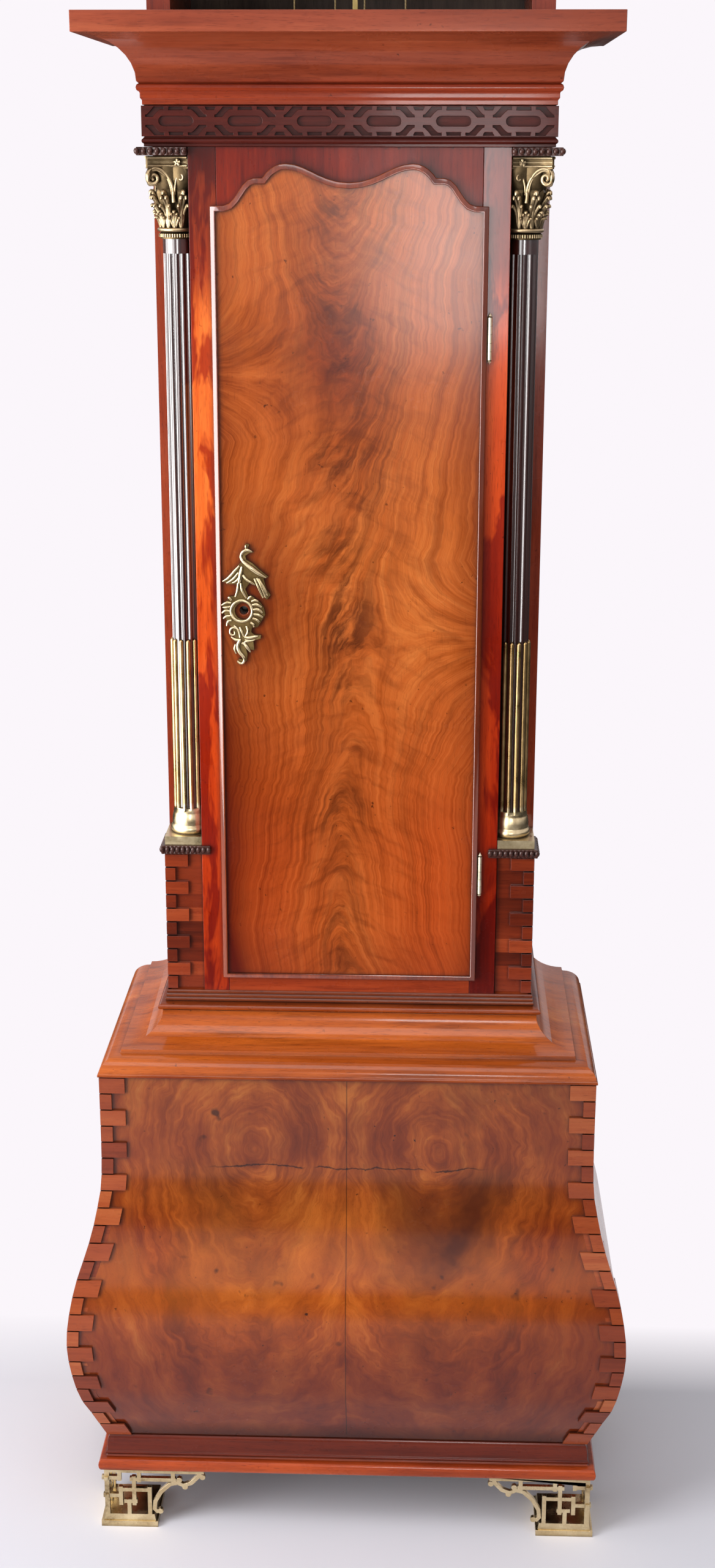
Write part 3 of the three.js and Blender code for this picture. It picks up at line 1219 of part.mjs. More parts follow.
function addHands() {
  const hand = (sizes, y) => standing([
    [-sizes.tip, arborLevel + sizes.length], [-sizes.width / 2, arborLevel + sizes.length * 0.62],
    [-sizes.width / 4, arborLevel + sizes.length * 0.5], [-sizes.width / 4, arborLevel],
    [sizes.width / 4, arborLevel], [sizes.width / 4, arborLevel + sizes.length * 0.5],
    [sizes.width / 2, arborLevel + sizes.length * 0.62], [sizes.tip, arborLevel + sizes.length],
  ], y, y + sizes.thickness);
  const minute = minuteHand;
  const arbor = barAlongY(arborRadius, 0, arborLevel, minute.front - overrun, movementBack - gap, 14);
  const back = minute.front + minute.thickness;
  const minuteBoss = barAlongY(minute.boss, 0, arborLevel, minute.front, back, 20);
  const minuteTail = box(
    -minute.tip, minute.tip, minute.front, back, arborLevel - minute.tail, arborLevel,
  );
  const minutePiece = join(arbor, minuteBoss, minuteTail, hand(minute, minute.front));
  place('minute_hand', minutePiece, colours.steel, 0.35, 1);
  const hour = hourHand;
  const boss = barAlongY(hour.boss, 0, arborLevel, hour.front, hour.front + hour.thickness, 20);
  const end = hour.front + hour.pipeLength;
  const pipe = barAlongY(hour.pipe, 0, arborLevel, hour.front, end, 16);
  const bore = barAlongY(arborRadius + gap, 0, arborLevel, hour.front - overrun, end + overrun, 14);
  place('hour_hand', cut(join(boss, pipe, hand(hour, hour.front)), bore), colours.steel, 0.35, 1);
}

addFeet();
addPlinth();
addBasePanels();
addBaseQuoins();
addThroat();
addTrunkSides();
addStiles();
addRails();
addPedestals();
addPads();
addColumnBases();
addShafts();
addCapitals();
addCapitalBlocks();
addFrieze();
addFret();
addCornice();
addDoor();
addEscutcheon();
addLock();
addHinges();
addBackboard();
addSeatboard();
addMovementFrame();
addBarrels();
addEscapement();
addPendulum();
addWeights();
addBell();
addHammer();
addDial();
addHands();

const frontmost = baseReach + baseSwell;
clock.position.y = -(caseDepth + backThickness - frontmost) / 2;

export default clock;
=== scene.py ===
import json
import math

import bpy
from mathutils import Matrix, Vector


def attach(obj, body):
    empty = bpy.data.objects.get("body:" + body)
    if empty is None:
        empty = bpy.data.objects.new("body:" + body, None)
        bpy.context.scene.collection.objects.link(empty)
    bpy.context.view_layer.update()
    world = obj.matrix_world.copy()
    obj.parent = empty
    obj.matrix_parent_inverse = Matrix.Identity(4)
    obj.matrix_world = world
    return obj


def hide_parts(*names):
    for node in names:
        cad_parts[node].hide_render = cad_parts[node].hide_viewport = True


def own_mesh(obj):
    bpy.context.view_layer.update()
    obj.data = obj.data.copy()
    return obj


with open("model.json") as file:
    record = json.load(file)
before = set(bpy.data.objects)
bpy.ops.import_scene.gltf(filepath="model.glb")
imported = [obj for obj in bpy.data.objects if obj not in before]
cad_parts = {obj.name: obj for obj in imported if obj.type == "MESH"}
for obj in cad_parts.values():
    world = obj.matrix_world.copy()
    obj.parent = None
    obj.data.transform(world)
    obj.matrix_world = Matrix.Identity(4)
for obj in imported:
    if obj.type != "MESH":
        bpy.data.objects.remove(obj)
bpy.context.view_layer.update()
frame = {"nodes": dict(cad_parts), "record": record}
nodes = frame["nodes"]
bodyOf = {node: body for body, members in frame["record"]["behaviour"]["bodies"].items() for node in members}
print("frame loaded:", len(nodes), "pieces")


# Picking and finishing

def pick(piece):
    bpy.ops.object.select_all(action="DESELECT")
    piece.select_set(True)
    bpy.context.view_layer.objects.active = piece


def added(operator, **settings):
    bpy.ops.object.select_all(action="DESELECT")
    operator(**settings)
    return bpy.context.view_layer.objects.active


def newObject(title, data):
    piece = bpy.data.objects.new(title, data)
    bpy.context.collection.objects.link(piece)
    return piece


def settle(piece):
    pick(piece)
    bpy.ops.object.transform_apply(location=True, rotation=True, scale=True)


def applyAll(piece):
    pick(piece)
    for modifier in list(piece.modifiers):
        bpy.ops.object.modifier_apply(modifier=modifier.name)


def editAll(piece, *steps):
    # each step is an operator with its settings, run on the whole mesh
    pick(piece)
    bpy.ops.object.mode_set(mode="EDIT")
    bpy.ops.mesh.select_all(action="SELECT")
    for operator, settings in steps:
        operator(**settings)
    bpy.ops.object.mode_set(mode="OBJECT")


def smoothTo(piece, degrees):
    # weighted normals keep a broad face flat beside its small bevels
    pick(piece)
    bpy.ops.object.shade_smooth_by_angle(angle=math.radians(degrees))
    piece.modifiers.new("faces", "WEIGHTED_NORMAL").keep_sharp = True
    applyAll(piece)


def finish(piece, material, body, replaced=()):
    piece.data.materials.clear()
    piece.data.materials.append(material)
    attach(piece, body)
    if replaced:
        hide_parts(*replaced)


def roundEdges(piece, width, segments, degrees):
    bevel = piece.modifiers.new("edges", "BEVEL")
    bevel.width = width
    bevel.segments = segments
    bevel.limit_method = "ANGLE"
    bevel.angle_limit = math.radians(degrees)
    bevel.use_clamp_overlap = True
    applyAll(piece)


def roundFront(piece, near, far, width, segments):
    # rounds the edges that lie between two depths
    pick(piece)
    bpy.ops.object.mode_set(mode="EDIT")
    bpy.ops.mesh.select_all(action="DESELECT")
    bpy.ops.mesh.select_mode(type="EDGE")
    bpy.ops.object.mode_set(mode="OBJECT")
    points = piece.data.vertices
    for edge in piece.data.edges:
        edge.select = all(near < points[i].co.y < far for i in edge.vertices)
    bpy.ops.object.mode_set(mode="EDIT")
    bpy.ops.mesh.bevel(offset=width, segments=segments, clamp_overlap=True)
    bpy.ops.object.mode_set(mode="OBJECT")


def copyOf(node):
    piece = newObject(node + "Finished", nodes[node].data.copy())
    editAll(piece, (bpy.ops.mesh.remove_doubles, {"threshold": 0.00002}),
            (bpy.ops.mesh.dissolve_limited, {"angle_limit": math.radians(0.6)}))
    return piece


def eased(node, material, width=0.0006, segments=2, degrees=30, smooth=40):
    # stands for a node with its edges rounded
    piece = copyOf(node)
    if width:
        roundEdges(piece, width, segments, degrees)
    smoothTo(piece, smooth)
    finish(piece, material, bodyOf[node], [node])


def mirrorCopy(piece, title):
    other = newObject(title, piece.data.copy())
    editAll(other, (bpy.ops.transform.mirror, {"constraint_axis": (True, False, False), "center_override": (0, 0, 0)}),
            (bpy.ops.mesh.normals_make_consistent, {"inside": False}))
    return other


def joined(pieces, title):
    bpy.ops.object.select_all(action="DESELECT")
    for piece in pieces:
        piece.select_set(True)
    bpy.context.view_layer.objects.active = pieces[0]
    bpy.ops.object.join()
    pieces[0].name = title
    return pieces[0]


# Flat plates and bent bars, drawn as curves and then made mesh

def drawCurve(title, loops, flat=True, closed=True, smooth=False):
    # a point is (x, y), (x, y, z) or (x, y, z, share of the bar's radius)
    curve = bpy.data.curves.new(title, "CURVE")
    curve.dimensions = "2D" if flat else "3D"
    curve.resolution_u = 3
    for loop in loops:
        spline = curve.splines.new("BEZIER" if smooth else "POLY")
        points = spline.bezier_points if smooth else spline.points
        points.add(len(loop) - 1)
        for point, (x, y, *rest) in zip(points, loop):
            z, radius = rest + [0, 1][len(rest):]
            if smooth:
                point.co = (x, y, z)
                point.handle_left_type = point.handle_right_type = "AUTO"
            else:
                point.co = (x, y, z, 1)
            point.radius = radius
        spline.use_cyclic_u = closed
    return newObject(title, curve)


def toMesh(piece):
    pick(piece)
    bpy.ops.object.convert(target="MESH")
    return bpy.context.view_layer.objects.active


def plate(title, loops, front, back, edge):
    piece = drawCurve(title, loops)
    piece.data.fill_mode = "BOTH"
    piece.data.extrude = max((back - front) / 2 - edge, 0.00005)
    piece.data.bevel_depth = edge
    piece.data.bevel_resolution = 1
    piece.data.offset = -edge
    piece.rotation_euler = (math.pi / 2, 0, 0)
    piece.location = (0, (front + back) / 2, 0)
    piece = toMesh(piece)
    settle(piece)
    smoothTo(piece, 50)
    return piece


def bar(title, paths, radius, sides=3, smooth=True):
    piece = drawCurve(title, paths, False, False, smooth)
    piece.data.bevel_depth = radius
    piece.data.bevel_resolution = sides
    piece.data.use_fill_caps = True
    piece = toMesh(piece)
    smoothTo(piece, 60)
    return piece


# Shader helpers: a field is a socket that can be added, multiplied and so on

drawing = {"tree": None}  # the node tree that new nodes go into


def tone(code):
    parts = [int(code[i:i + 2], 16) / 255 for i in (0, 2, 4)]
    return [p / 12.92 if p <= 0.04045 else ((p + 0.055) / 1.055) ** 2.4 for p in parts] + [1]


def plug(node, sockets):
    for key, value in sockets.items():
        value = value.socket if isinstance(value, Field) else value
        target = node.inputs[key]
        if isinstance(value, bpy.types.NodeSocket):
            drawing["tree"].links.new(value, target)
        else:
            target.default_value = value


def addNode(kind, sockets=None, **settings):
    made = drawing["tree"].nodes.new("ShaderNode" + kind)
    for key, value in settings.items():
        setattr(made, key, value)
    plug(made, sockets or {})
    return made


class Field:
    def __init__(self, socket):
        self.socket = socket

    def math(self, operation, other=0):
        return Field(addNode("Math", {0: self, 1: other}, operation=operation).outputs[0])

    def __add__(self, other):
        return self.math("ADD", other)

    def __sub__(self, other):
        return self.math("SUBTRACT", other)

    def __mul__(self, other):
        return self.math("MULTIPLY", other)

    def __truediv__(self, other):
        return self.math("DIVIDE", other)

    def __pow__(self, other):
        return self.math("POWER", other)

    def away(self):
        return self.math("ABSOLUTE")

    def larger(self, other):
        return self.math("MAXIMUM", other)

    def hill(self, width):
        return ((self / width) ** 2 * -1).math("EXPONENT")

    def between(self, low, high, toLow=0, toHigh=1):
        made = addNode("MapRange", {0: self, 1: low, 2: high, 3: toLow, 4: toHigh}, clamp=True)
        return Field(made.outputs[0])


def place():
    coords = addNode("TexCoord").outputs["Object"]
    split = addNode("SeparateXYZ", {0: coords})
    return coords, [Field(socket) for socket in split.outputs]


def spot(x, y, z):
    return addNode("CombineXYZ", {0: x, 1: y, 2: z}).outputs[0]


def squeezed(vector, share):
    return addNode("Mapping", {"Vector": vector, "Scale": (1, 1, share)}).outputs[0]


def turned(vector):
    return addNode("Mapping", {"Vector": vector, "Rotation": (0, math.pi / 2, 0)}).outputs[0]


def noise(vector, scale, detail=3, rough=0.55, distortion=0):
    vector = spot(*vector) if isinstance(vector, tuple) else vector
    return Field(addNode("TexNoise", {"Vector": vector, "Scale": scale, "Detail": detail, "Roughness": rough,
                                      "Distortion": distortion}).outputs["Fac"])


def sway(reach, *where):
    # noise about nought
    return (noise(*where) - 0.5) * reach


def ramp(value, stops):
    made = addNode("ValToRGB", {0: value})
    points = made.color_ramp.elements
    points[0].position, points[1].position = stops[0][0], stops[-1][0]
    for where, _ in stops[1:-1]:
        points.new(where)
    for point, (_, colour) in zip(points, stops):
        point.color = tone(colour)
    return made.outputs[0]


def mix(amount, first, second, how="MIX"):
    second = tone(second) if isinstance(second, str) else second
    return addNode("Mix", {0: amount, 6: first, 7: second}, data_type="RGBA", blend_type=how).outputs[2]


def paint(colour, *layers):
    # each layer says how much of it shows, its colour, and how it is laid on when not plainly
    for amount, second, *how in layers:
        colour = mix(amount, colour, second, *how)
    return colour


def bump(height, strength, distance):
    return addNode("Bump", {"Height": height, "Strength": strength, "Distance": distance}).outputs[0]


def emptyMaterial(name):
    material = bpy.data.materials.new(name)
    material.use_nodes = True
    drawing["tree"] = material.node_tree
    material.node_tree.nodes.clear()
    shader = addNode("BsdfPrincipled")
    addNode("OutputMaterial", {0: shader.outputs[0]})
    return material, shader


def beginGroup(title, inputs, outputs):
    group = drawing["tree"] = bpy.data.node_groups.new(title, "ShaderNodeTree")
    group.interface.new_socket(name="Vector", in_out="INPUT", socket_type="NodeSocketVector")
    for name, value in inputs.items():
        group.interface.new_socket(name=name, in_out="INPUT", socket_type="NodeSocketFloat").default_value = value
    for name in outputs:
        group.interface.new_socket(name=name, in_out="OUTPUT", socket_type="NodeSocketFloat")
    return group, group.nodes.new("NodeGroupInput").outputs, group.nodes.new("NodeGroupOutput")


def fromGroup(group, vector, values):
    made = addNode("Group", node_tree=group)
    plug(made, {"Vector": vector, **values})
    return [Field(socket) for socket in made.outputs]


# Grain group: fine streaks, broad bands and pores of wood that runs along Z

def buildGrainGroup():
    group, start, end = beginGroup("woodGrain", {"Fine": 240, "Broad": 22, "Wander": 0.02},
                                   ("Streak", "Band", "Pore", "Cloud"))
    wander = addNode("TexNoise", {"Vector": start[0], "Scale": 3, "Detail": 2})
    centred = addNode("VectorMath", {0: wander.outputs["Color"], 1: (0.5, 0.5, 0.5)}, operation="SUBTRACT")
    moved = addNode("VectorMath", {0: centred.outputs[0], "Scale": start[3]}, operation="SCALE")
    bent = addNode("VectorMath", {0: start[0], 1: moved.outputs[0]}, operation="ADD").outputs[0]
    plug(end, {"Streak": noise(squeezed(bent, 0.035), start[1], 5),
               "Band": noise(squeezed(bent, 0.09), start[2], 3),
               "Pore": noise(squeezed(bent, 0.05), 1500, 1).between(0.6, 0.72),
               "Cloud": noise(start[0], 6, 3)})
    return group


# Wear and shade group: ambient occlusion that darkens corners and hollows, which is painted shade there along with
# settled dirt (patina on the metals), and dark specks of old polish

def buildWearAndShadeGroup():
    group, start, end = beginGroup("oldPolishAndCornerShade", {"Reach": 0.006}, ("Corner", "Speck", "Smear"))
    # Corner is ambient occlusion: the darkening it gives corners, creases and recesses is painted shade as well as dirt
    shade = addNode("AmbientOcclusion", {"Distance": start[1]}, samples=4)
    specks = noise(start[0], 170, 2).between(0.68, 0.76) * noise(start[0], 21, 2).between(0.5, 0.62)
    plug(end, {"Corner": Field(shade.outputs["AO"]).between(0.35, 0.95, 1, 0), "Speck": specks,
               "Smear": noise(start[0], 11, 5, 0.65)})
    return group


grainGroup = buildGrainGroup()
wearAndShadeGroup = buildWearAndShadeGroup()


def grain(vector, fine=240, broad=22, wander=0.02):
    return fromGroup(grainGroup, vector, {"Fine": fine, "Broad": broad, "Wander": wander})


def wearAndShade(vector, reach=0.006):
    return fromGroup(wearAndShadeGroup, vector, {"Reach": reach})


def polish(shader, colour, streak, pore, smear, corner, gloss):
    # corners and creases darkened by the Corner mask: painted shade along with dirt
    shadedAndDirty = mix(corner * gloss.get("cornerShadeAndDirt", 0.75), colour, "1d0c08")
    rough = smear.between(0.3, 0.7, gloss["rough"] - 0.06, gloss["rough"] + 0.08) + corner * 0.2
    relief = bump(streak * 0.5 + pore * -0.6, gloss.get("bump", 0.12), 0.0004)
    plug(shader, {"Base Color": shadedAndDirty, "Roughness": rough, "Normal": relief, "Specular IOR Level": 0.12,
                  "Coat Weight": gloss["coat"], "Coat IOR": gloss.get("coatIor", 1.5),
                  "Coat Roughness": gloss.get("coatRough", 0.1)})


plainWood = {"axis": "z", "fine": 240, "broad": 30, "wander": 0.01, "rough": 0.28, "coat": 0.3}
# each wood says what differs; "tints" are colours multiplied in at heights up the piece
woods = {
    "stile": {"colours": "7a2408 c04e1a dc6a2c ee8c48", "fine": 300, "broad": 34, "rough": 0.3, "flame": 0.9,
        "tints": {0.7: "a86a50", 0.85: "c87c50", 1.05: "dc9468", 1.25: "ffc8a0", 1.44: "ffd0b0", 1.52: "b48074",
        1.64: "8a5a54"}},
    # a lighter copy of the stile wood for the left stile: painted light where the lamp on the left falls
    "stileLitFromLeft": {"colours": "8a330c dc6e2c f48e46 faa868", "fine": 300, "broad": 34, "rough": 0.3, "flame": 0.9,
        "tints": {0.7: "b46a48", 0.85: "cc7c50", 1.05: "dc8c60", 1.22: "ffd8b4", 1.44: "ffdcbc",
        1.52: "a86a58", 1.64: "6e4440"}},
    "rail": {"colours": "360602 661206 80200a 983010", "fine": 260, "wander": 0.012, "coat": 0.12, "coatRough": 0.2},
    "lowRail": {"colours": "551204 8e300f a43f18 b85226", "axis": "x", "broad": 26, "wander": 0.012},
    "cornice": {"colours": "54190b 8f3e24 a54e30 ba6440", "axis": "x", "fine": 230, "broad": 18, "wander": 0.02,
        "tints": {1.681: "ffd8b0", 1.702: "ffd0a8", 1.708: "ffffff", 1.745: "ffffff", 1.76: "e8dcd8"}},
    "throat": {"colours": "4a1a06 a4541e c26c2c dc9048", "cornerShadeAndDirt": 1, "axis": "x", "fine": 190, "broad": 26,
        "wander": 0.02, "rough": 0.27, "coat": 0.35,
        "tints": {0.6: "b07c68", 0.606: "ffe8d0", 0.657: "ffe8d0", 0.663: "c09890", 0.668: "a08078"}},
    "plinth": {"colours": "4c1808 96461f b05a2c c46c38", "axis": "x", "broad": 20, "wander": 0.015, "rough": 0.27,
        "coat": 0.35,
        "tints": {0.079: "ffd8b8", 0.094: "ffd0b0", 0.1: "94685c", 0.124: "94685c"}},
    "side": {"colours": "4a1409 7e2c17 943a20 a84c2c", "broad": 18, "wander": 0.02, "rough": 0.26, "coat": 0.45},
    "baseSide": {"colours": "471507 84401c 9a5028 b06236", "fine": 220, "broad": 14, "wander": 0.05, "rough": 0.26,
        "coat": 0.45},
    "shaft": {"colours": "1d0806 34100a 431710 522016", "fine": 300, "broad": 40, "wander": 0.008, "rough": 0.14,
        "coat": 1, "coatIor": 2, "coatRough": 0.2},
    "fretwork": {"colours": "2a0a05 4a150d 5c1e14 6c2a1d", "axis": "x", "fine": 260, "coat": 0.12},
    "lip": {"colours": "3c1208 702a12 8e3c1a a24c24", "fine": 280, "rough": 0.2, "coat": 0.8, "coatIor": 1.7,
        "quirkShade": (-0.06965, -0.0692)},
    "carved": {"colours": "1f0f0a 3d201a 553229 70493a", "axis": "x", "fine": 200, "broad": 40, "rough": 0.34,
        "cornerShadeAndDirt": 0.95},
}


def makeWood(name, settings):
    settings = {**plainWood, **settings}
    material, shader = emptyMaterial(name)
    coords, (x, y, z) = place()
    vector = turned(coords) if settings["axis"] == "x" else coords
    streak, band, pore, cloud = grain(vector, settings["fine"], settings["broad"], settings["wander"])
    corner, speck, smear = wearAndShade(coords)
    low, mid, high, top = settings["colours"].split()
    value = band * 0.55 + streak * 0.3 + cloud * 0.2
    colour = ramp(value.between(0.28, 0.76), [(0, low), (0.38, mid), (0.68, high), (1, top)])
    vein = noise(squeezed(vector, 0.06), 90, 4, 0.7).between(0.56, 0.7)
    colour = paint(colour, (pore * 0.5, low), (speck * 0.7, "200c06"), (vein * 0.45, low))
    # painted shade: the lip darkens to near black towards the veneer, where its rounding shades the quirk
    if "quirkShade" in settings:
        near, deep = settings["quirkShade"]
        colour = mix(y.between(near, deep, 0, 0.85), colour, "140604")
    if "flame" in settings:
        flame = noise((x * 26, 0, z * 5), 1, 4, 0.65, 0.6).between(0.48, 0.53)
        colour = mix(flame * settings["flame"], colour, "b06a48", "MULTIPLY")
    if "tints" in settings:
        tints = settings["tints"]
        foot, head = min(tints), max(tints)
        stray = sway(min(0.1, (head - foot) * 0.12), coords, 14)
        stops = [((level - foot) / (head - foot), code) for level, code in tints.items()]
        colour = mix(1, colour, ramp((z + stray).between(foot, head), stops), "MULTIPLY")
    polish(shader, colour, streak, pore, smear, corner, settings)
    return material


# the blocks of a quoin stack differ in tint: "low" is the stack's foot, "pitch" a block's height
quoins = {
    "quoinWood": {"colours": "461508 7c331a 964624 b26438", "rough": 0.28, "coat": 0.4, "cornerShadeAndDirt": 0.95,
        "low": 0.124, "pitch": 0.02068},
    "pedestalWood": {"colours": "2e0e07 66220f 863318 a64c28", "rough": 0.26, "coat": 0.4, "cornerShadeAndDirt": 0.95,
        "low": 0.682, "pitch": 0.0169},
}


def makeQuoinWood(name, settings):
    material, shader = emptyMaterial(name)
    coords, (x, y, z) = place()
    streak, band, pore, cloud = grain(turned(coords), 260, 60, 0.01)
    corner, _, smear = wearAndShade(coords, 0.004)
    course = ((z - settings["low"]) / settings["pitch"]).math("FLOOR")
    tint = addNode("TexWhiteNoise", {"W": course * 1.7 + x.math("SIGN") * 9}, noise_dimensions="1D")
    value = Field(tint.outputs["Value"]) * 0.45 + band * 0.3 + streak * 0.3 + cloud * 0.15
    low, mid, high, top = settings["colours"].split()
    colour = ramp(value.between(0.2, 0.95), [(0, low), (0.35, mid), (0.7, high), (1, top)])
    colour = mix(pore * 0.4, colour, low)
    polish(shader, colour, streak, pore, smear, corner, settings)
    return material


doorVeneer = {"rough": 0.22, "coat": 0.35, "coatRough": 0.15, "cornerShadeAndDirt": 0.8, "bump": 0.05}


def makeDoorVeneer():
    material, shader = emptyMaterial("doorFlame")
    coords, (x, y, z) = place()
    spine = sway(0.075, (0, 0, z), 3.4, 2) + sway(0.03, (2, 0, z), 15) - 0.006
    ruffle = sway(0.08, coords, 9, 4, 0.6) + sway(0.005, coords, 40, 4, 0.6)
    side = x - spine
    left = side.between(-0.02, 0.02, 1, 0)
    out = (side ** 2 + 0.0004).math("SQRT")
    # left of the plume the lines fall away but for the head, right of it they climb above the middle
    climb = z.between(0.95, 1.2, -24, 14)
    drop = z.between(0.95, 1.2, 24, 8.5) - z.between(1.33, 1.5, 0, 20)
    fall = left * drop - (left * -1 + 1) * climb
    rise = z + (out ** 1.6) * fall + ruffle
    fine = noise((rise, side * 0.1, 0), 170, 6, 0.68)
    figure = noise((rise, side * 0.4, 3), 32, 5, 0.64)
    broad = noise((x * 0.8, 0, z * 0.5 + ruffle), 6, 3)
    value = figure * 0.34 + fine * 0.26 + broad * 0.34
    colour = ramp(value.between(0.26, 0.68), [
        (0, "742a0c"), (0.28, "a04a18"), (0.5, "c06228"), (0.74, "d47838"), (1, "e6984e")])
    feather = noise((rise, side * 0.45, 9), 62, 5, 0.66, 0.4).between(0.4, 0.6)
    patch = noise((x * 0.5, 0, z), 7.5, 4, 0.6).between(0.38, 0.58)
    streaks = noise((rise, side * 0.15, 7), 70, 5, 0.7).between(0.5, 0.72)
    curl = noise((x * 0.35, 0, z + out * 0.6 + ruffle * 0.6), 60, 4, 0.6, 0.3).between(0.47, 0.68)
    plume = (side / z.between(0.75, 1.3, 0.024, 0.05)).away().between(0.3, 1.6, 1, 0) * feather * patch
    swirl = noise((rise, side * 0.8, 15), 13, 5, 0.65, 0.8).between(0.5, 0.66)
    # redder and darker along the lock side, the foot and the edges
    shade = (x + 0.142).between(0, 0.09, 0.55, 0) * z.between(1.2, 1)
    shade = shade + (z - 0.70).between(0, 0.07, 0.3, 0)
    rim = x.away().between(0.112, 0.142, 0, 0.4)
    lock = ((x + 0.112) ** 2 + ((z - 1.15) * 0.5) ** 2).math("SQRT").between(0.02, 0.075, 0.65, 0)
    low = z.between(1.08, 0.86) * x.away().between(0, 0.1, 0.1, 0.8)
    dusk = (x + 0.012).hill(0.055) * (z - 1.42).hill(0.1)
    bright = (x - 0.09).hill(0.08) * (z - 1.2).hill(0.16)
    corner, speck, smear = wearAndShade(coords)
    pore = grain(coords)[2]
    colour = paint(colour, (streaks * 0.2, "5c230c"), (curl * out.between(0.03, 0.12, 0.5, 0.12), "6a2c10"),
                   (plume * 0.85, "4c1f0d"), (swirl * 0.42, "5f2409"), ((shade + rim).larger(lock), "5a1808"),
                   (low, "f4c0b0", "MULTIPLY"), (dusk * 0.8, "b08478", "MULTIPLY"),
                   (bright * -1 + 1, "f0e6e0", "MULTIPLY"), (pore * 0.25, "4a1c0a"), (speck * 0.8, "200c06"))
    polish(shader, colour, fine, pore, smear, corner, doorVeneer)
    return material


baseVeneer = {"rough": 0.22, "coat": 0.6, "coatRough": 0.14, "cornerShadeAndDirt": 0.8, "bump": 0.05, "eye": (0.108, 0.512),
              "crack": 0.487}


def makeBaseVeneer():
    material, shader = emptyMaterial("baseFlame")
    coords, (x, y, z) = place()
    across = x.away()
    ruffle = sway(0.1, (across, x.math("SIGN") * 0.03, z), 7.5, 4, 0.6)
    ruffle = ruffle + sway(0.006, (across, x.math("SIGN") * 0.05, z), 32, 4, 0.6)
    eyeX, eyeZ = baseVeneer["eye"]
    # both halves are ringed about an eye under the crack; above it the rings are tight
    below = z.between(baseVeneer["crack"], 0.36)
    stretch = below * -0.42 + 1
    eye = (((across - eyeX) * 1.15) ** 2 + ((z - eyeZ) * stretch) ** 2).math("SQRT") + ruffle
    fine = noise((eye, across * 0.08, z * 0.05), 190, 6, 0.7)
    figure = noise((eye, across * 0.25, z * 0.12), 30, 5, 0.66)
    ripple = noise((eye * 0.5, z * 0.5, across + 4), 15, 4, 0.6)
    value = figure * 0.48 + fine * 0.26 + ripple * 0.48
    colour = ramp(value.between(0.42, 0.82), [
        (0, "3e1408"), (0.28, "76320f"), (0.5, "9c4e1a"), (0.74, "bd6e2c"), (1, "dc964c")])
    # the belly, yellower figure and in part a painted highlight where the swell bulges out; the dark ring under the
    # crack; the redder top and edges; and redder and darker towards the foot, painted shade where the panel turns down
    # under the swell
    goldAndSheen = (z - 0.375).hill(0.07) * noise((across, 0, z), 8, 3).between(0.36, 0.62)
    arc = (eye - 0.075).hill(0.035) * z.between(0.5, 0.47)
    cloud = noise((x, 0, z), 9, 4, 0.62).between(0.46, 0.64)
    top = z.between(0.48, 0.5)
    dark = arc * x.between(-0.05, 0.1, 0.35, 0.8) + cloud * (top * 0.35 + 0.3) * x.between(-0.2, 0.2, 0.6, 1)
    red = (z.between(0.30, 0.22, 0, 0.5) + top * 0.35 + across.between(0.21, 0.28, 0, 0.5)).math("MINIMUM", 0.6)
    streaks = noise((eye, across * 0.1, 7), 75, 5, 0.7).between(0.5, 0.7)
    # painted shade: darker towards the bottom and darkest at the foot, under the swell
    low, foot = z.between(0.33, 0.16, 0, 0.75), z.between(0.152, 0.128, 0, 0.75)
    middle = (z - 0.34).hill(0.13) * x.between(-0.2, 0.2, 0.8, 1)
    jitter = sway(0.02, coords, 26, 4, 0.6)
    seamLine = (x + jitter * 0.05).away().between(0.0002, 0.0009, 0.7, 0)
    crackLine = (z - baseVeneer["crack"] + jitter).away().between(0.0003, 0.0014, 0.85, 0)
    # the crack fades out to both sides and breaks off here and there
    crackLine = crackLine * across.between(0.14, 0.17, 1, 0) * noise(coords, 25, 1).between(0.36, 0.44)
    knot = noise(coords, 34, 2).between(0.7, 0.76) * 0.8
    corner, speck, smear = wearAndShade(coords)
    pore = grain(coords)[2]
    colour = paint(colour, (goldAndSheen * 0.55, "cf7f33"), (dark, "4e220e"), (red, "702a12"), (streaks * 0.22, "3c1508"),
                   (low, "c08a78", "MULTIPLY"), (middle, "eccaa8", "MULTIPLY"), (foot, "2c0e06"),
                   ((seamLine + crackLine).larger(knot), "1c0a05"), (pore * 0.25, "40190b"), (speck * 0.9, "1f0c06"))
    polish(shader, colour, fine, pore, smear, corner, baseVeneer)
    return material


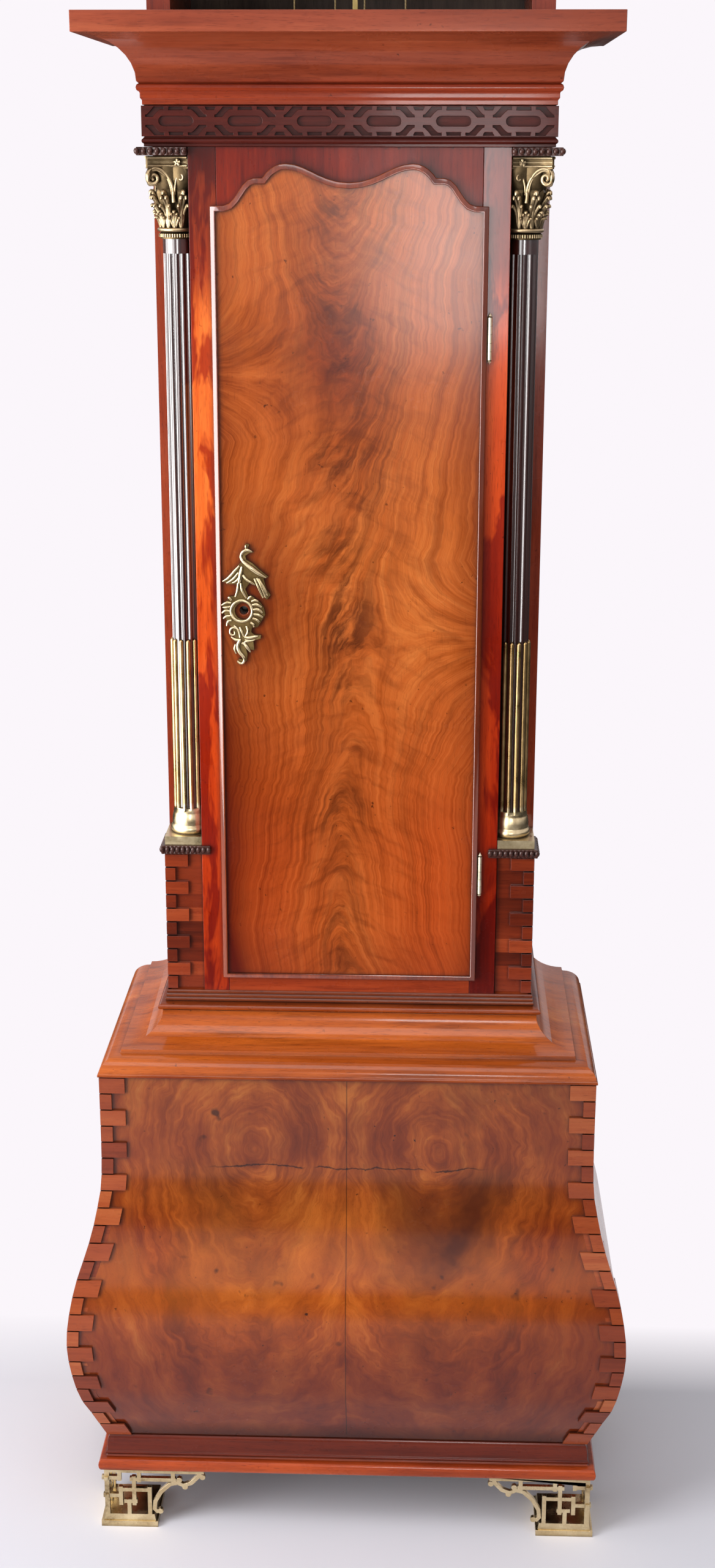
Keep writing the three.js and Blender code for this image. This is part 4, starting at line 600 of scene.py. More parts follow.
metals = {
    "brass": {"colours": "6a5638 c6b086 eadab4", "grime": "2a1a0c", "rough": 0.24, "reach": 0.005},
    "castBrass": {"colours": "4a3a26 9e8664 d6c29c", "grime": "22150a", "rough": 0.34, "reach": 0.008},
    "brassDull": {"colours": "4c4026 93804f b8a470", "grime": "241a0e", "rough": 0.36, "reach": 0.006},
    "rodBrass": {"colours": "6a5638 c6b086 f0e0bc", "grime": "2a1a0c", "rough": 0.3, "reach": 0.004,
        "above": (0.906, "dccab0")},
    # a darker copy of the brass for the capital's bell: painted shade among the carved strokes
    "shadedBrass": {"colours": "2c2214 5a4a34 8a7656", "grime": "161008", "rough": 0.42, "reach": 0.01},
    "hingeBrass": {"colours": "9a8c6c dccfb0 f2e8d0", "grime": "3a2c18", "rough": 0.32, "reach": 0.003},
    "plateBrass": {"colours": "30200f 5e4a2c 8a744a", "grime": "160e06", "rough": 0.38, "reach": 0.008},
    "steelBlue": {"colours": "14161c 23283a 343b52", "grime": "0c0c10", "rough": 0.25, "reach": 0.003},
    "iron": {"colours": "3a3835 5c5a55 7a7770", "grime": "1d1a17", "rough": 0.42, "reach": 0.004},
    "bellMetal": {"colours": "6d675a a8a08c c8c0aa", "grime": "38332a", "rough": 0.24, "reach": 0.004},
    "weightMetal": {"colours": "45403a 6e685c 8b8474", "grime": "24201a", "rough": 0.45, "reach": 0.006, "metal": 0.85},
    "wax": {"colours": "0c0b0a 161412 24211e", "grime": "060505", "rough": 0.45, "reach": 0.003, "metal": 0},
    "silvered": {"colours": "6f6c62 8f8c81 a6a399", "grime": "6b6659", "rough": 0.45, "reach": 0.003, "metal": 0.5},
}


def makeMetal(name, settings):
    material, shader = emptyMaterial(name)
    coords, (x, y, z) = place()
    corner, _, smear = wearAndShade(coords, settings["reach"])
    cloud = noise(coords, 38, 4, 0.6)
    grit = noise(coords, 420)
    low, mid, high = settings["colours"].split()
    colour = ramp((cloud * 0.6 + grit * 0.25 + smear * 0.3).between(0.3, 0.85), [(0, low), (0.35, mid), (1, high)])
    if "above" in settings:
        level, code = settings["above"]
        colour = mix(z.between(level, level + 0.004), colour, code, "MULTIPLY")
    colour = mix(corner * 0.85, colour, settings["grime"])
    rough = cloud.between(0.3, 0.7, settings["rough"] - 0.07, settings["rough"] + 0.1) + corner * 0.3
    plug(shader, {"Base Color": colour, "Metallic": settings.get("metal", 1), "Roughness": rough,
                  "Normal": bump(grit * 0.5 + cloud, 0.12, 0.0004)})
    return material


def makeOak(name, low, mid, high):
    material, shader = emptyMaterial(name)
    coords, _ = place()
    streak, band, pore, cloud = grain(coords, 200, 26, 0.03)
    corner, _, smear = wearAndShade(coords, 0.02)
    saw = addNode("TexWave", {"Vector": coords, "Scale": 26, "Distortion": 1.5, "Detail": 2}, bands_direction="Z")
    value = band * 0.5 + streak * 0.4 + cloud * 0.25
    colour = ramp(value.between(0.3, 0.8), [(0, low), (0.5, mid), (1, high)])
    # corners darkened by the Corner mask: painted shade along with dirt
    colour = paint(colour, (pore * 0.6, low), (corner * 0.7, "120c08"))
    relief = streak + Field(saw.outputs["Fac"]) * 0.25 + pore * -0.5
    plug(shader, {"Base Color": colour, "Roughness": smear.between(0.3, 0.7, 0.62, 0.8),
                  "Normal": bump(relief, 0.35, 0.0006)})
    return material


def makeGut():
    material, shader = emptyMaterial("gut")
    coords, _ = place()
    wave = addNode("TexWave", {"Vector": coords, "Scale": 180, "Distortion": 0.6}, bands_direction="DIAGONAL")
    twist = Field(wave.outputs["Fac"])
    colour = ramp(twist * 0.5 + noise(coords, 60) * 0.5, [(0, "8a6c35"), (1, "cdb275")])
    plug(shader, {"Base Color": colour, "Roughness": noise(coords, 90).between(0.3, 0.7, 0.4, 0.55),
                  "Normal": bump(twist, 0.4, 0.0003)})
    return material


wood = {name: makeWood(name + "Wood", settings) for name, settings in woods.items()}
quoinWood, pedestalWood = [makeQuoinWood(name, settings) for name, settings in quoins.items()]
metal = {name: makeMetal(name, settings) for name, settings in metals.items()}
doorFlame = makeDoorVeneer()
baseFlame = makeBaseVeneer()
rawBoard = makeOak("rawBoard", "241711", "4a3428", "6a4f3e")
rawBack = makeOak("rawBack", "2c2018", "55443a", "75624f")
gutSkin = makeGut()
print("finishes mixed")


# Base: swelling panels that run on under the quoins

swell = {"low": 0.1241, "high": 0.5995, "foot": 0.124, "tall": 0.476, "levels": 46, "straight": 0.2895, "bulge": 0.043,
         "face": 0.0033, "thick": 0.016, "half": 0.2855, "gap": 0.0003, "front": 0.15225, "back": 0.16825,
         "shares": [(0, 0.1), (0.076, 0.43), (0.165, 0.79), (0.308, 1), (0.443, 0.8), (0.559, 0.395), (0.65, 0.15),
                    (0.75, 0.01), (1, 0)]}


def swellAt(z):
    # a smooth curve through the shares of the bulge
    t = (z - swell["foot"]) / swell["tall"]
    points = swell["shares"]
    last = len(points) - 2
    i = next((i for i in range(last) if t <= points[i + 1][0]), last)
    (start, here), (end, there) = points[i:i + 2]
    before, after = points[max(i - 1, 0)][1], points[min(i + 2, last + 1)][1]
    u = (t - start) / (end - start)
    out = 0.5 * (2 * here + (there - before) * u + (2 * before - 5 * here + 4 * there - after) * u ** 2
                 + (3 * here - before - 3 * there + after) * u ** 3)
    return swell["straight"] + swell["bulge"] * out


def extruded(title, profile, start, end, turn):
    # profile in (out, up) metres, pushed from start to end along the panel
    piece = drawCurve(title, [profile])
    piece.data.fill_mode = "BOTH"
    piece.data.extrude = (end - start) / 2
    piece = toMesh(piece)
    piece.matrix_world = turn @ Matrix.Translation((0, 0, (start + end) / 2))
    settle(piece)
    smoothTo(piece, 30)
    return piece


def buildBase():
    rise = (swell["high"] - swell["low"]) / swell["levels"]
    levels = [swell["low"] + rise * i for i in range(swell["levels"] + 1)]
    face = [(swellAt(z) - swell["face"], z) for z in levels]
    loop = face + [(out - swell["thick"], z) for out, z in reversed(face)]
    # front: local x is out towards -Y, local y is up, local z runs along X
    frontTurn = Matrix(((0, 0, 1, 0), (-1, 0, 0, swell["front"]), (0, 1, 0, 0), (0, 0, 0, 1)))
    front = extruded("baseFront", loop, -swell["half"], swell["half"], frontTurn)
    # the ends follow the side's swelling
    for vertex in front.data.vertices:
        vertex.co.x = math.copysign(swellAt(vertex.co.z) - swell["face"], vertex.co.x)
    finish(front, baseFlame, "case", ["base_front_panel"])
    for way, side in ((1, "right"), (-1, "left")):
        sideTurn = Matrix(((way, 0, 0, 0), (0, 0, way, 0), (0, 1, 0, 0), (0, 0, 0, 1)))
        panel = extruded("baseSide" + side, loop, 0, 1, sideTurn)
        # the side starts behind the front panel and ends at the backboard
        for vertex in panel.data.vertices:
            near = swell["front"] - swellAt(vertex.co.z) + swell["face"] + swell["thick"] + swell["gap"]
            vertex.co.y = near if abs(vertex.co.y) < 0.5 else swell["back"]
        editAll(panel, (bpy.ops.mesh.normals_make_consistent, {"inside": False}))
        finish(panel, wood["baseSide"], "case", ["base_side_" + side])
    for side in ("left", "right"):
        eased("base_quoins_" + side, quoinWood, 0.0011, smooth=30)
        eased("trunk_quoins_" + side, pedestalWood, 0.0009, smooth=30)


buildBase()
print("base panels and quoins")


# Case joinery: mouldings, stiles, rails and boards with their edges eased

# the right capital: "face" is how far out a stroke starts, how it leans out along the face, and how the strokes that
# run inwards are shortened; scroll, helix, stalk and flower are (along, up) in millimetres from the capital's foot
capital = {"x": 0.1876, "y": -0.03535, "inner": 0.1724, "bottom": 1.544, "leafAt": 0.0182, "leafFoot": 0.012,
           "lower": {"count": 8, "phase": 0, "rise": 0.0165, "out": 0.0245, "spread": 0.23, "thick": 0.0021},
           "upper": {"count": 8, "phase": 22.5, "rise": 0.0375, "out": 0.0285, "spread": 0.19, "thick": 0.0024},
           "scroll": [(0.5, 46), (1.5, 54), (5, 63), (10, 69.5), (16, 72.8), (21.5, 72.4), (25.8, 69), (27.3, 63.5),
                      (25.3, 58.3), (21, 56.6), (17.4, 59), (16.6, 63), (18.8, 66.2), (22, 65.6), (23, 62.6), (21, 61)],
           "face": (0.0203, 0.22, 0.84), "eye": (21.2, 62.5), "inset": 0.8, "stem": 1.8, "open": 0.019, "clear": 0.0035,
           "thick": {"scroll": 0.0021, "helix": 0.0012, "moulding": 0.0014},
           "helix": [(-1, 46), (-1.6, 54), (-3, 61), (-5.6, 66.4), (-8.8, 66.6), (-10.3, 63.6), (-8.6, 61), (-6.4, 62)],
           "stalk": [(0.2, 38), (0.8, 44), (0.4, 49)],
           "abacus": {"out": 0.0229, "sweep": 0.0052, "half": 26.5,
                      "rows": ((75.6, 0, 1), (79.4, -0.0006, 0.75), (84, 0.0002, 1.25)),
                      "front": (-15, -8, 0, 8, 14, 20, 26.4), "side": (-23.5, -20, -14, -8, 0, 8, 14, 20, 26.4)},
           "flower": {"petals": 5, "at": (-5, 79), "reach": 3.4},
           "neck": {"radius": 0.0189, "up": 0.0095, "thick": 0.0021, "sides": 28},
           "beads": {"count": 44, "radius": 0.0187, "ends": (0.0018, 0.0052), "thick": 0.0009}}
collar = {"radius": 0.0154, "tall": 0.0152, "drop": 0.0078, "wall": 0.0004}


def buildCollar(side):
    # hides the tops of the flutes under the capital
    x = capital["x"] if side == "right" else -capital["x"]
    piece = added(bpy.ops.mesh.primitive_cylinder_add, vertices=40, radius=collar["radius"], depth=collar["tall"],
                  end_fill_type="NOTHING", location=(x, capital["y"], capital["bottom"] - collar["drop"]))
    piece.name = "shaftCollar" + side
    settle(piece)
    piece.modifiers.new("wall", "SOLIDIFY").thickness = collar["wall"]
    applyAll(piece)
    smoothTo(piece, 50)
    finish(piece, wood["shaft"], "case")


def buildCase():
    eased("plinth_moulding", wood["plinth"], 0.0005, 2, 40, 35)
    eased("base_top_moulding", wood["throat"], 0.0005, 2, 40, 35)
    eased("frieze_board", wood["fretwork"], 0.0004, 2, 40, 35)
    eased("cornice", wood["cornice"], 0.0006, 2, 40, 30)
    for side in ("left", "right"):
        eased("trunk_side_" + side, wood["side"], 0.0005)
        # the left stile takes the lighter copy of the stile wood: painted light from the left
        eased("trunk_stile_" + side, wood["stileLitFromLeft" if side == "left" else "stile"], 0.0005)
        eased("column_shaft_" + side, wood["shaft"], 0, smooth=50)
        eased("column_base_" + side, metal["rodBrass"], 0, smooth=45)
        eased("column_pad_" + side, wood["carved"], 0.0008)
        # the bell under the carving takes the darker brass: painted shade
        eased("capital_" + side, metal["shadedBrass"])
        eased("capital_block_" + side, wood["carved"], 0.0008)
        for end in ("front", "back"):
            eased("foot_%s_%s" % (end, side), metal["brass"])
        buildCollar(side)
    eased("trunk_top_rail", wood["rail"], 0.0005)
    eased("trunk_bottom_rail", wood["lowRail"], 0.0005)
    eased("backboard", rawBack, 0.001)
    eased("seatboard", rawBoard, 0.001)


buildCase()
print("case joinery")


# Blind fret: one pierced plate on the front of the frieze board and one on each side

fret = {"front": -0.0671, "back": -0.0645, "edge": 0.0004, "half": 0.2191, "low": 1.6492, "high": 1.6802,
        "middle": 1.6648, "cell": 0.0726, "cells": 6, "sideCells": 3, "sideBack": 0.1681, "sideGap": 0.0027,
        "sideSeat": 0.06695, "round": (0.0181, 0.0051), "dash": (0.0076, 0.0111, 0.0143),
        "link": (0.0057, 0.0111, 0.0143),
        "elbow": [(12.7, 11.7), (12.7, 14.3), (22.9, 14.3), (25.5, 11.1), (29.9, 6.6), (31.8, 6), (31.8, 4.1),
                  (24.2, 4.1), (20.4, 8.5), (16.6, 11.7)]}


def fretPlate(title, low, high, cells):
    loops = [[(low, fret["low"]), (high, fret["low"]), (high, fret["high"]), (low, fret["high"])]]
    pitch = (high - low) / cells
    grow = pitch / fret["cell"]
    mid = fret["middle"]
    long, tall = fret["round"]
    bend = [(math.sin(j * math.pi / 6) * tall, math.cos(j * math.pi / 6) * tall) for j in range(7)]

    def cut(at, way, points):
        loops.append([(at + x * grow, mid + way * z) for x, z in points])

    for i in range(cells):
        at = low + pitch * (i + 0.5)
        loops.append([(at + way * (long * grow - tall + x), mid + way * z) for way in (1, -1) for x, z in bend])
        for way in (1, -1):
            half, near, far = fret["dash"]
            cut(at, way, ((-half, near), (half, near), (half * 0.93, far), (-half * 0.93, far)))
            for flip in (1, -1):
                cut(at, way, [(flip * x / 1000, z / 1000) for x, z in fret["elbow"]])
        for way in (1, -1) if i else ():
            half, near, far = fret["link"]
            cut(at - pitch / 2, way, ((-half, far), (-half * 0.7, near), (half * 0.7, near), (half, far)))
    return plate(title, loops, fret["front"], fret["back"], fret["edge"])


def buildFret():
    parts = [fretPlate("friezeFretFront", -fret["half"], fret["half"], fret["cells"])]
    run = fret["sideBack"] - (fret["front"] + fret["sideGap"])
    for way, side in ((1, "Right"), (-1, "Left")):
        piece = fretPlate("friezeFret" + side, -run / 2, run / 2, fret["sideCells"])
        spotAt = (way * (fret["half"] - fret["sideSeat"]), fret["sideBack"] - run / 2, 0)
        piece.matrix_world = Matrix.Translation(spotAt) @ Matrix.Rotation(way * math.pi / 2, 4, "Z")
        settle(piece)
        parts.append(piece)
    for piece in parts:
        finish(piece, wood["fretwork"], "case", ["frieze_fret"])


buildFret()
print("fret")


# Capitals: strokes of leaf, scroll and moulding laid on the turned bell

def spread(angle, radius, up):
    return (capital["x"] + radius * math.sin(angle), capital["y"] - radius * math.cos(angle), capital["bottom"] + up)


def around(count, radius, up):
    return [spread(i * 2 * math.pi / count, radius, up) for i in range(count)]


# a leaf's strokes: where across the leaf, and the shares of its rise and thickness
veins = ((0, 1, 1), (-0.5, 0.86, 0.85), (0.5, 0.86, 0.85), (-1, 0.62, 0.75), (1, 0.62, 0.75))


def leafStrokes(settings):
    paths = []
    at, foot = capital["leafAt"], capital["leafFoot"]
    for k in range(settings["count"]):
        centre = math.radians(settings["phase"] + k * 360 / settings["count"])
        # no leaf where the stile and the side close the recess
        if capital["x"] + capital["open"] * math.sin(centre) < capital["inner"] + capital["clear"]:
            continue
        for side, share, thick in veins:
            turn = settings["spread"] * side
            rise = settings["rise"] * share
            out = at + (settings["out"] - at) * (0.55 + 0.45 * share)
            # lean to the side, radius, share of the rise, and thickness
            steps = [(0.25, 0.0176, 0, 0.8), (0.5, 0.0184, 0.3, 1), (0.8, 0.0192, 0.65, 1.1),
                     (1, out * 0.88, 0.93, 1.1), (1.05, out * 0.97, 1, 0.95), (1.05, out * 1.02, 0.9, 0.6)]
            paths.append([spread(centre + turn * lean, radius, foot + rise * up) + (width * thick,)
                          for lean, radius, up, width in steps])
    return paths


def onFace(front, along, off, up, thick):
    x, y = (along, -off) if front else (off, -along)
    return (capital["x"] + x, capital["y"] + y, capital["bottom"] + up / 1000, thick)


def faceStroke(shape, front, way=1, shift=0, thick=1):
    # a stroke drawn on one face of the capital: along the face towards the corner, and up
    out, lean, short = capital["face"]
    path = []
    for along, up in shape:
        along = along / 1000 * way * (short if way < 0 else 1)
        path.append(onFace(front, along, out + abs(along) * lean + shift, up, thick))
    return path


def buildCapitals():
    scrolls, helices, mouldings = [], [], []
    (eyeX, eyeZ), inset = capital["eye"], capital["inset"]
    # a thinner stroke follows inside the scroll, beside its stem and then drawn in towards its eye
    inner = [(x + capital["stem"], z) for x, z in capital["scroll"][:3]]
    inner += [(eyeX + (x - eyeX) * inset, eyeZ + (z - eyeZ) * inset) for x, z in capital["scroll"][3:11]]
    abacus, flower = capital["abacus"], capital["flower"]
    for front in (True, False):
        for way in (1,) if front else (1, -1):
            scrolls.append(faceStroke(capital["scroll"], front, way))
            helices.append(faceStroke(inner, front, way, 0.0004))
            helices.append(faceStroke(capital["helix"], front, 1 if front else -way, 0.0006))
            helices.append(faceStroke(capital["stalk"], front, way, 0.001, 1.9))
        for up, out, thick in abacus["rows"]:
            sweep = [(x, abacus["out"] + abacus["sweep"] * (x / abacus["half"]) ** 2 + out)
                     for x in abacus["front" if front else "side"]]
            mouldings.append([onFace(front, x / 1000, off, up, thick) for x, off in sweep])
        x, z = flower["at"]
        for k in range(flower["petals"]):
            turn = math.radians(90 + k * 360 / flower["petals"])
            dx, dz = flower["reach"] * math.cos(turn), flower["reach"] * math.sin(turn)
            helices.append(faceStroke([(x + dx * 0.2, z + dz * 0.2), (x + dx, z + dz)], front, 1, 0.0045, 1.5))
    thick = capital["thick"]
    parts = [bar("capitalScrolls", scrolls, thick["scroll"]), bar("capitalHelices", helices, thick["helix"], 2)]
    for title, level in (("capitalLeaves", "lower"), ("capitalTallLeaves", "upper")):
        parts.append(bar(title, leafStrokes(capital[level]), capital[level]["thick"], 2))
    parts.append(bar("capitalMouldings", mouldings, thick["moulding"], 2))
    neck, beads = capital["neck"], capital["beads"]
    band = drawCurve("capitalNeck", [around(neck["sides"], neck["radius"], neck["up"])], False, True, True)
    band.data.bevel_depth = neck["thick"]
    band.data.bevel_resolution = 3
    ends = zip(*[around(beads["count"], beads["radius"], up) for up in beads["ends"]])
    parts += [toMesh(band), bar("capitalBeads", list(ends), beads["thick"], 1, False)]
    whole = joined(parts, "capitalCarvingRight")
    smoothTo(whole, 60)
    other = mirrorCopy(whole, "capitalCarvingLeft")
    finish(whole, metal["castBrass"], "case")
    finish(other, metal["castBrass"], "case")


buildCapitals()
print("capitals")


# Carved rows on the pads under the columns and the blocks over the capitals

rows = {
    "pad": {"front": -0.0653, "inner": 0.1633, "outer": 0.2176, "back": -0.013, "low": 0.8530, "high": 0.8602,
            "pitch": 0.0062, "thick": 0.0029},
    "block": {"front": -0.0719, "inner": 0.1742, "outer": 0.2241, "back": -0.013, "low": 1.6312, "high": 1.6375,
              "pitch": 0.0072, "thick": 0.0031},
}
# a lobe's stroke: how far out, how high up as a share, and its thickness
lobe = ((-0.0012, 0, 0.45), (0, 0.35, 0.95), (0.00033, 0.7, 1), (0.00055, 1, 0.6))


def buildCarvedRows():
    for title, row in rows.items():
        wide, deep = row["outer"] - row["inner"], row["back"] - row["front"]
        count = round(wide / row["pitch"])
        spots = [(row["inner"] + wide * i / count, row["front"], 0, -1) for i in range(count)]
        count = round(deep / row["pitch"])
        spots += [(row["outer"], row["front"] + deep * i / count, 1, 0) for i in range(1, count + 1)]
        spots.append((row["outer"], row["front"], 0.7, -0.7))
        tall = row["high"] - row["low"]
        lobes = [[(x + outX * lean, y + outY * lean, row["low"] + tall * up, thick) for lean, up, thick in lobe]
                 for x, y, outX, outY in spots]
        carving = bar(title + "CarvingRight", lobes, row["thick"], 2)
        other = mirrorCopy(carving, title + "CarvingLeft")
        finish(carving, wood["carved"], "case")
        finish(other, wood["carved"], "case")


buildCarvedRows()
print("carved rows")


# Door: the lip falls away outwards, so each run mirrors the light from its own side

lip = {"top": -0.0725, "under": -0.0719, "outer": -0.0698, "topRound": 0.0016, "outerRound": 0.0005, "middle": 1.15}


def buildLip():
    piece = copyOf("door_moulding")
    editAll(piece, (bpy.ops.mesh.quads_convert_to_tris, {}))
    outward = {}
    for face in piece.data.polygons:
        if abs(face.normal.y) < 0.5:
            away = Vector((face.center.x, 0, face.center.z - lip["middle"])).dot(face.normal)
            outward.update({i: away > 0 for i in face.vertices})
    for vertex in piece.data.vertices:
        if vertex.co.y < lip["under"] and outward.get(vertex.index):
            vertex.co.y = lip["outer"]
    roundFront(piece, lip["top"], lip["under"], lip["topRound"], 4)
    roundFront(piece, lip["outer"] - 0.00001, lip["outer"] + 0.00001, lip["outerRound"], 2)
    smoothTo(piece, 60)
    finish(piece, wood["lip"], "door", ["door_moulding"])


def buildDoor():
    eased("door", doorFlame, 0.0008)
    buildLip()
    eased("escutcheon", metal["plateBrass"], 0.0008)
    eased("lock_case", metal["iron"])
    eased("lock_bolt", metal["brassDull"], 0.0005)
    for level in ("lower", "upper"):
        for leaf in ("frame", "door"):
            eased("hinge_%s_%s_leaf" % (level, leaf), metal["hingeBrass"], 0.0002)


buildDoor()
print("door")


# Escutcheon: cast strokes on its back plate, in millimetres from the ring's centre, with each point's half width

escutcheon = {
    "at": (-120.2, 1141.5), "ring": (11.95, 1.75), "front": -0.0722, "proud": 0.0004,
    "bird": [
        [(12.5, 67.1, 0.8), (9.7, 68.6, 1.4), (6.3, 69, 1.8), (2.5, 67.1, 1.8), (0.1, 62.5, 1.5), (1.2, 57.9, 1.8),
         (5.5, 53.3, 2.3), (12.2, 48.2, 2.9), (20.1, 42.5, 2.3), (28.1, 38.2, 0.7)],
        [(5.8, 74.3, 1.4), (5.7, 72.2, 1.3), (5.7, 69.9, 0.7)],
        [(-2, 51.3, 1.2), (-7.4, 45.2, 1.8), (-14.1, 37.9, 1.5), (-20.8, 33.5, 0.7)],
        [(-2.9, 43.5, 1.4), (-9, 36.5, 1.6), (-16.5, 31.6, 0.8)],
        [(-1.6, 38.9, 1.6), (-5.6, 34.2, 1.4), (-10.2, 31.9, 0.8)],
        [(0.9, 50.4, 1.4), (-0.4, 43.5, 2.6), (-1.4, 36.6, 2.6), (-2.2, 31.9, 1.9)],
        [(1.9, 41.2, 1.6), (5.8, 36.1, 1.9), (11.5, 32.6, 1.6), (15.4, 30, 0.9)],
        [(14.9, 37.3, 1.4), (19, 27.5, 1.6), (24.4, 15.4, 1.2)],
        [(17.6, 37.9, 1.4), (22.6, 28.1, 1.8), (27.2, 15.8, 1.2)],
        [(19.5, 37.3, 1.2), (25.6, 26.4, 1.5), (29.2, 18, 1)],
    ],
    "shell": [
        [(-3.4, 31.9, 1.5), (-4.1, 25, 1.6), (-6.7, 16.3, 1)],
        [(-0.3, 32, 1.5), (0.7, 23.9, 1.6), (5.5, 14.9, 1)],
        [(-11.1, 12.2, 1.2), (-13.6, 15.1, 1.6), (-15.1, 15.6, 1)],
        [(7.2, 13.5, 1.2), (9.5, 16.1, 1.6), (11.3, 16.8, 0.9)],
        [(11.2, 11.2, 1.2), (15.2, 12.6, 1.6), (18.8, 11.1, 1)],
        [(11.7, 7.2, 1.3), (17.4, 7.8, 1.8), (22.5, 4.6, 1.2)],
        [(12.8, 1.9, 1.3), (19.1, 2, 1.8), (23.3, -1.7, 1.2)],
        [(13.3, -3.3, 1.3), (19, -4.1, 1.8), (23.7, -6.7, 1.2)],
        [(12.1, -8, 1.3), (17.2, -9.7, 1.8), (19.5, -12.2, 1.2)],
        [(9.7, -12.7, 1.3), (13.1, -15, 1.8), (13.4, -18.1, 1)],
        [(-11.7, 9.3, 1.2), (-16.9, 9.6, 1.5), (-22.4, 6.5, 0.8)],
        [(-12.4, 5.2, 1.2), (-17, 4.2, 1.5), (-21.3, 4.2, 0.8)],
        [(-13, 0, 1.2), (-18.2, 0.5, 1.5), (-22.1, -2.4, 0.8)],
        [(-12.5, -5.3, 1.2), (-17.1, -5.9, 1.5), (-20.6, -8.6, 0.8)],
        [(-11.5, -10.5, 1.2), (-15.2, -11.7, 1.5), (-17.1, -17, 0.8)],
    ],
    "scrolls": [
        [(-8.7, -16.3, 1.2), (-3.8, -22.1, 1.5), (-2, -30.3, 1.2)],
        [(-2.4, -18, 1.2), (-0.2, -23.3, 1.5), (2.3, -29.1, 1)],
        [(5.1, -16.8, 1.2), (6.7, -23.2, 1.5), (3.8, -28.7, 1)],
        [(-5.9, -19.8, 1), (-10.5, -19, 1.3), (-13.3, -22.8, 1.4), (-11.7, -27.2, 1.3), (-8, -26.3, 1),
         (-8.4, -23.1, 0.8)],
        [(2.6, -29.7, 1.2), (8.3, -30.2, 1.8), (14.1, -29, 1.8), (17.9, -28.4, 0.8)],
        [(3.1, -32.6, 1), (8.9, -33.7, 1.4), (14.6, -32.5, 0.7)],
        [(-12.3, -29.2, 0.9), (-7.2, -32.7, 1.6), (-1.5, -33.2, 1.9)],
        [(-0.4, -36.5, 1.6), (1.7, -37, 1.6), (4.5, -34.4, 1.4), (7.5, -34.9, 1)],
        [(-2.4, -33.3, 2.1), (-4.8, -39.7, 2.3), (-3.1, -46.8, 2.2), (1.1, -52, 2), (2.3, -56.5, 1.6),
         (-0.9, -60.1, 1.4), (-5.5, -57.4, 1.2)],
        [(-7.5, -38, 0.9), (-8.5, -43.3, 1.4), (-6.8, -48.6, 0.8)],
        [(1.9, -36.1, 1.8), (5.3, -40.8, 2.1), (9.3, -46.7, 0.9)],
    ],
}


def buildEscutcheon():
    middleX, middleZ = escutcheon["at"]
    front = escutcheon["front"]
    paths = [[((middleX + x) / 1000, front, (middleZ + z) / 1000, half) for x, z, half in stroke]
             for group in ("bird", "shell", "scrolls") for stroke in escutcheon[group]]
    strokes = bar("escutcheonCasting", paths, 0.001)
    radius, thick = escutcheon["ring"]
    rim = added(bpy.ops.mesh.primitive_torus_add, major_radius=radius / 1000, minor_radius=thick / 1000,
                location=(middleX / 1000, front + escutcheon["proud"], middleZ / 1000),
                rotation=(math.pi / 2, 0, 0), major_segments=40, minor_segments=12)
    settle(rim)
    bpy.ops.object.shade_smooth()
    finish(joined([strokes, rim], "escutcheonCasting"), metal["brass"], "door")


buildEscutcheon()
print("escutcheon")


# Movement: each node's metal and the width of its eased edges

movement = {
    "movement_frame": ("brass", 0.0003), "going_barrel": ("brass", 0.0003), "strike_barrel": ("brass", 0.0003),
    "escape_wheel": ("brass", 0.0003), "going_pulley": ("brassDull", 0.0003), "strike_pulley": ("brassDull", 0.0003),
    "pendulum": ("brassDull", 0.0004), "pallet_arbor": ("iron", 0.0002), "bell": ("bellMetal", 0.0004),
    "bell_hammer": ("iron", 0.0003), "going_weight": ("weightMetal", 0.0008), "strike_weight": ("weightMetal", 0.0008),
    "dial": ("silvered", 0.0004), "minute_hand": ("steelBlue", 0.0002), "hour_hand": ("steelBlue", 0.0002),
}

for node, (skin, edge) in movement.items():
    eased(node, metal[skin], edge)
print("movement")


# Dial: plain hour numerals and minute strokes on the chapter ring

chapter = {"x": 0, "z": 1.998, "face": -0.02835, "numerals": 0.128, "tall": 0.027, "narrow": 0.8, "proud": 0.00015,
           "minutes": 0.1445, "stroke": 0.0048, "thick": 0.00035,
           "hours": ("XII", "I", "II", "III", "IIII", "V", "VI", "VII", "VIII", "IX", "X", "XI")}


def buildChapter():
    parts = []
    centre = Matrix.Translation((chapter["x"], chapter["face"], chapter["z"]))
    for hour, figure in enumerate(chapter["hours"]):
        text = added(bpy.ops.object.text_add)
        text.data.body = figure
        text.data.size = chapter["tall"] * 1.35
        text.data.align_x = text.data.align_y = "CENTER"
        text.data.extrude = chapter["proud"]
        piece = toMesh(text)
        turn = Matrix.Rotation(math.pi / 2, 4, "X") @ Matrix.Rotation(-hour * math.pi / 6, 4, "Z")
        narrow = Matrix.Diagonal((chapter["narrow"], 1, 1, 1))
        piece.matrix_world = centre @ turn @ Matrix.Translation((0, chapter["numerals"], 0)) @ narrow
        settle(piece)
        parts.append(piece)
    ticks = []
    for minute in range(60):
        turn = minute * math.pi / 30
        # every fifth stroke is longer and stouter
        grow, thick = (1.6, 1.7) if minute % 5 == 0 else (1, 1)
        half = chapter["stroke"] * grow / 2
        ticks.append([(chapter["x"] + math.sin(turn) * r, chapter["face"], chapter["z"] + math.cos(turn) * r, thick)
                      for r in (chapter["minutes"] - half, chapter["minutes"] + half)])
    parts.append(bar("minuteStrokes", ticks, chapter["thick"], 1, False))
    finish(joined(parts, "chapterFigures"), metal["wax"], bodyOf["dial"])


buildChapter()
print("dial figures")


# Gut lines: two falls and the turn under the pulley, for each weight

lines = {"radius": 0.001, "back": 0.03725, "top": 1.9303, "seat": 1.8457, "pulley": 0.563, "lift": 1.25,
         "falls": {"going": (0.0127, 0.0569), "strike": (-0.0633, -0.0191)}}


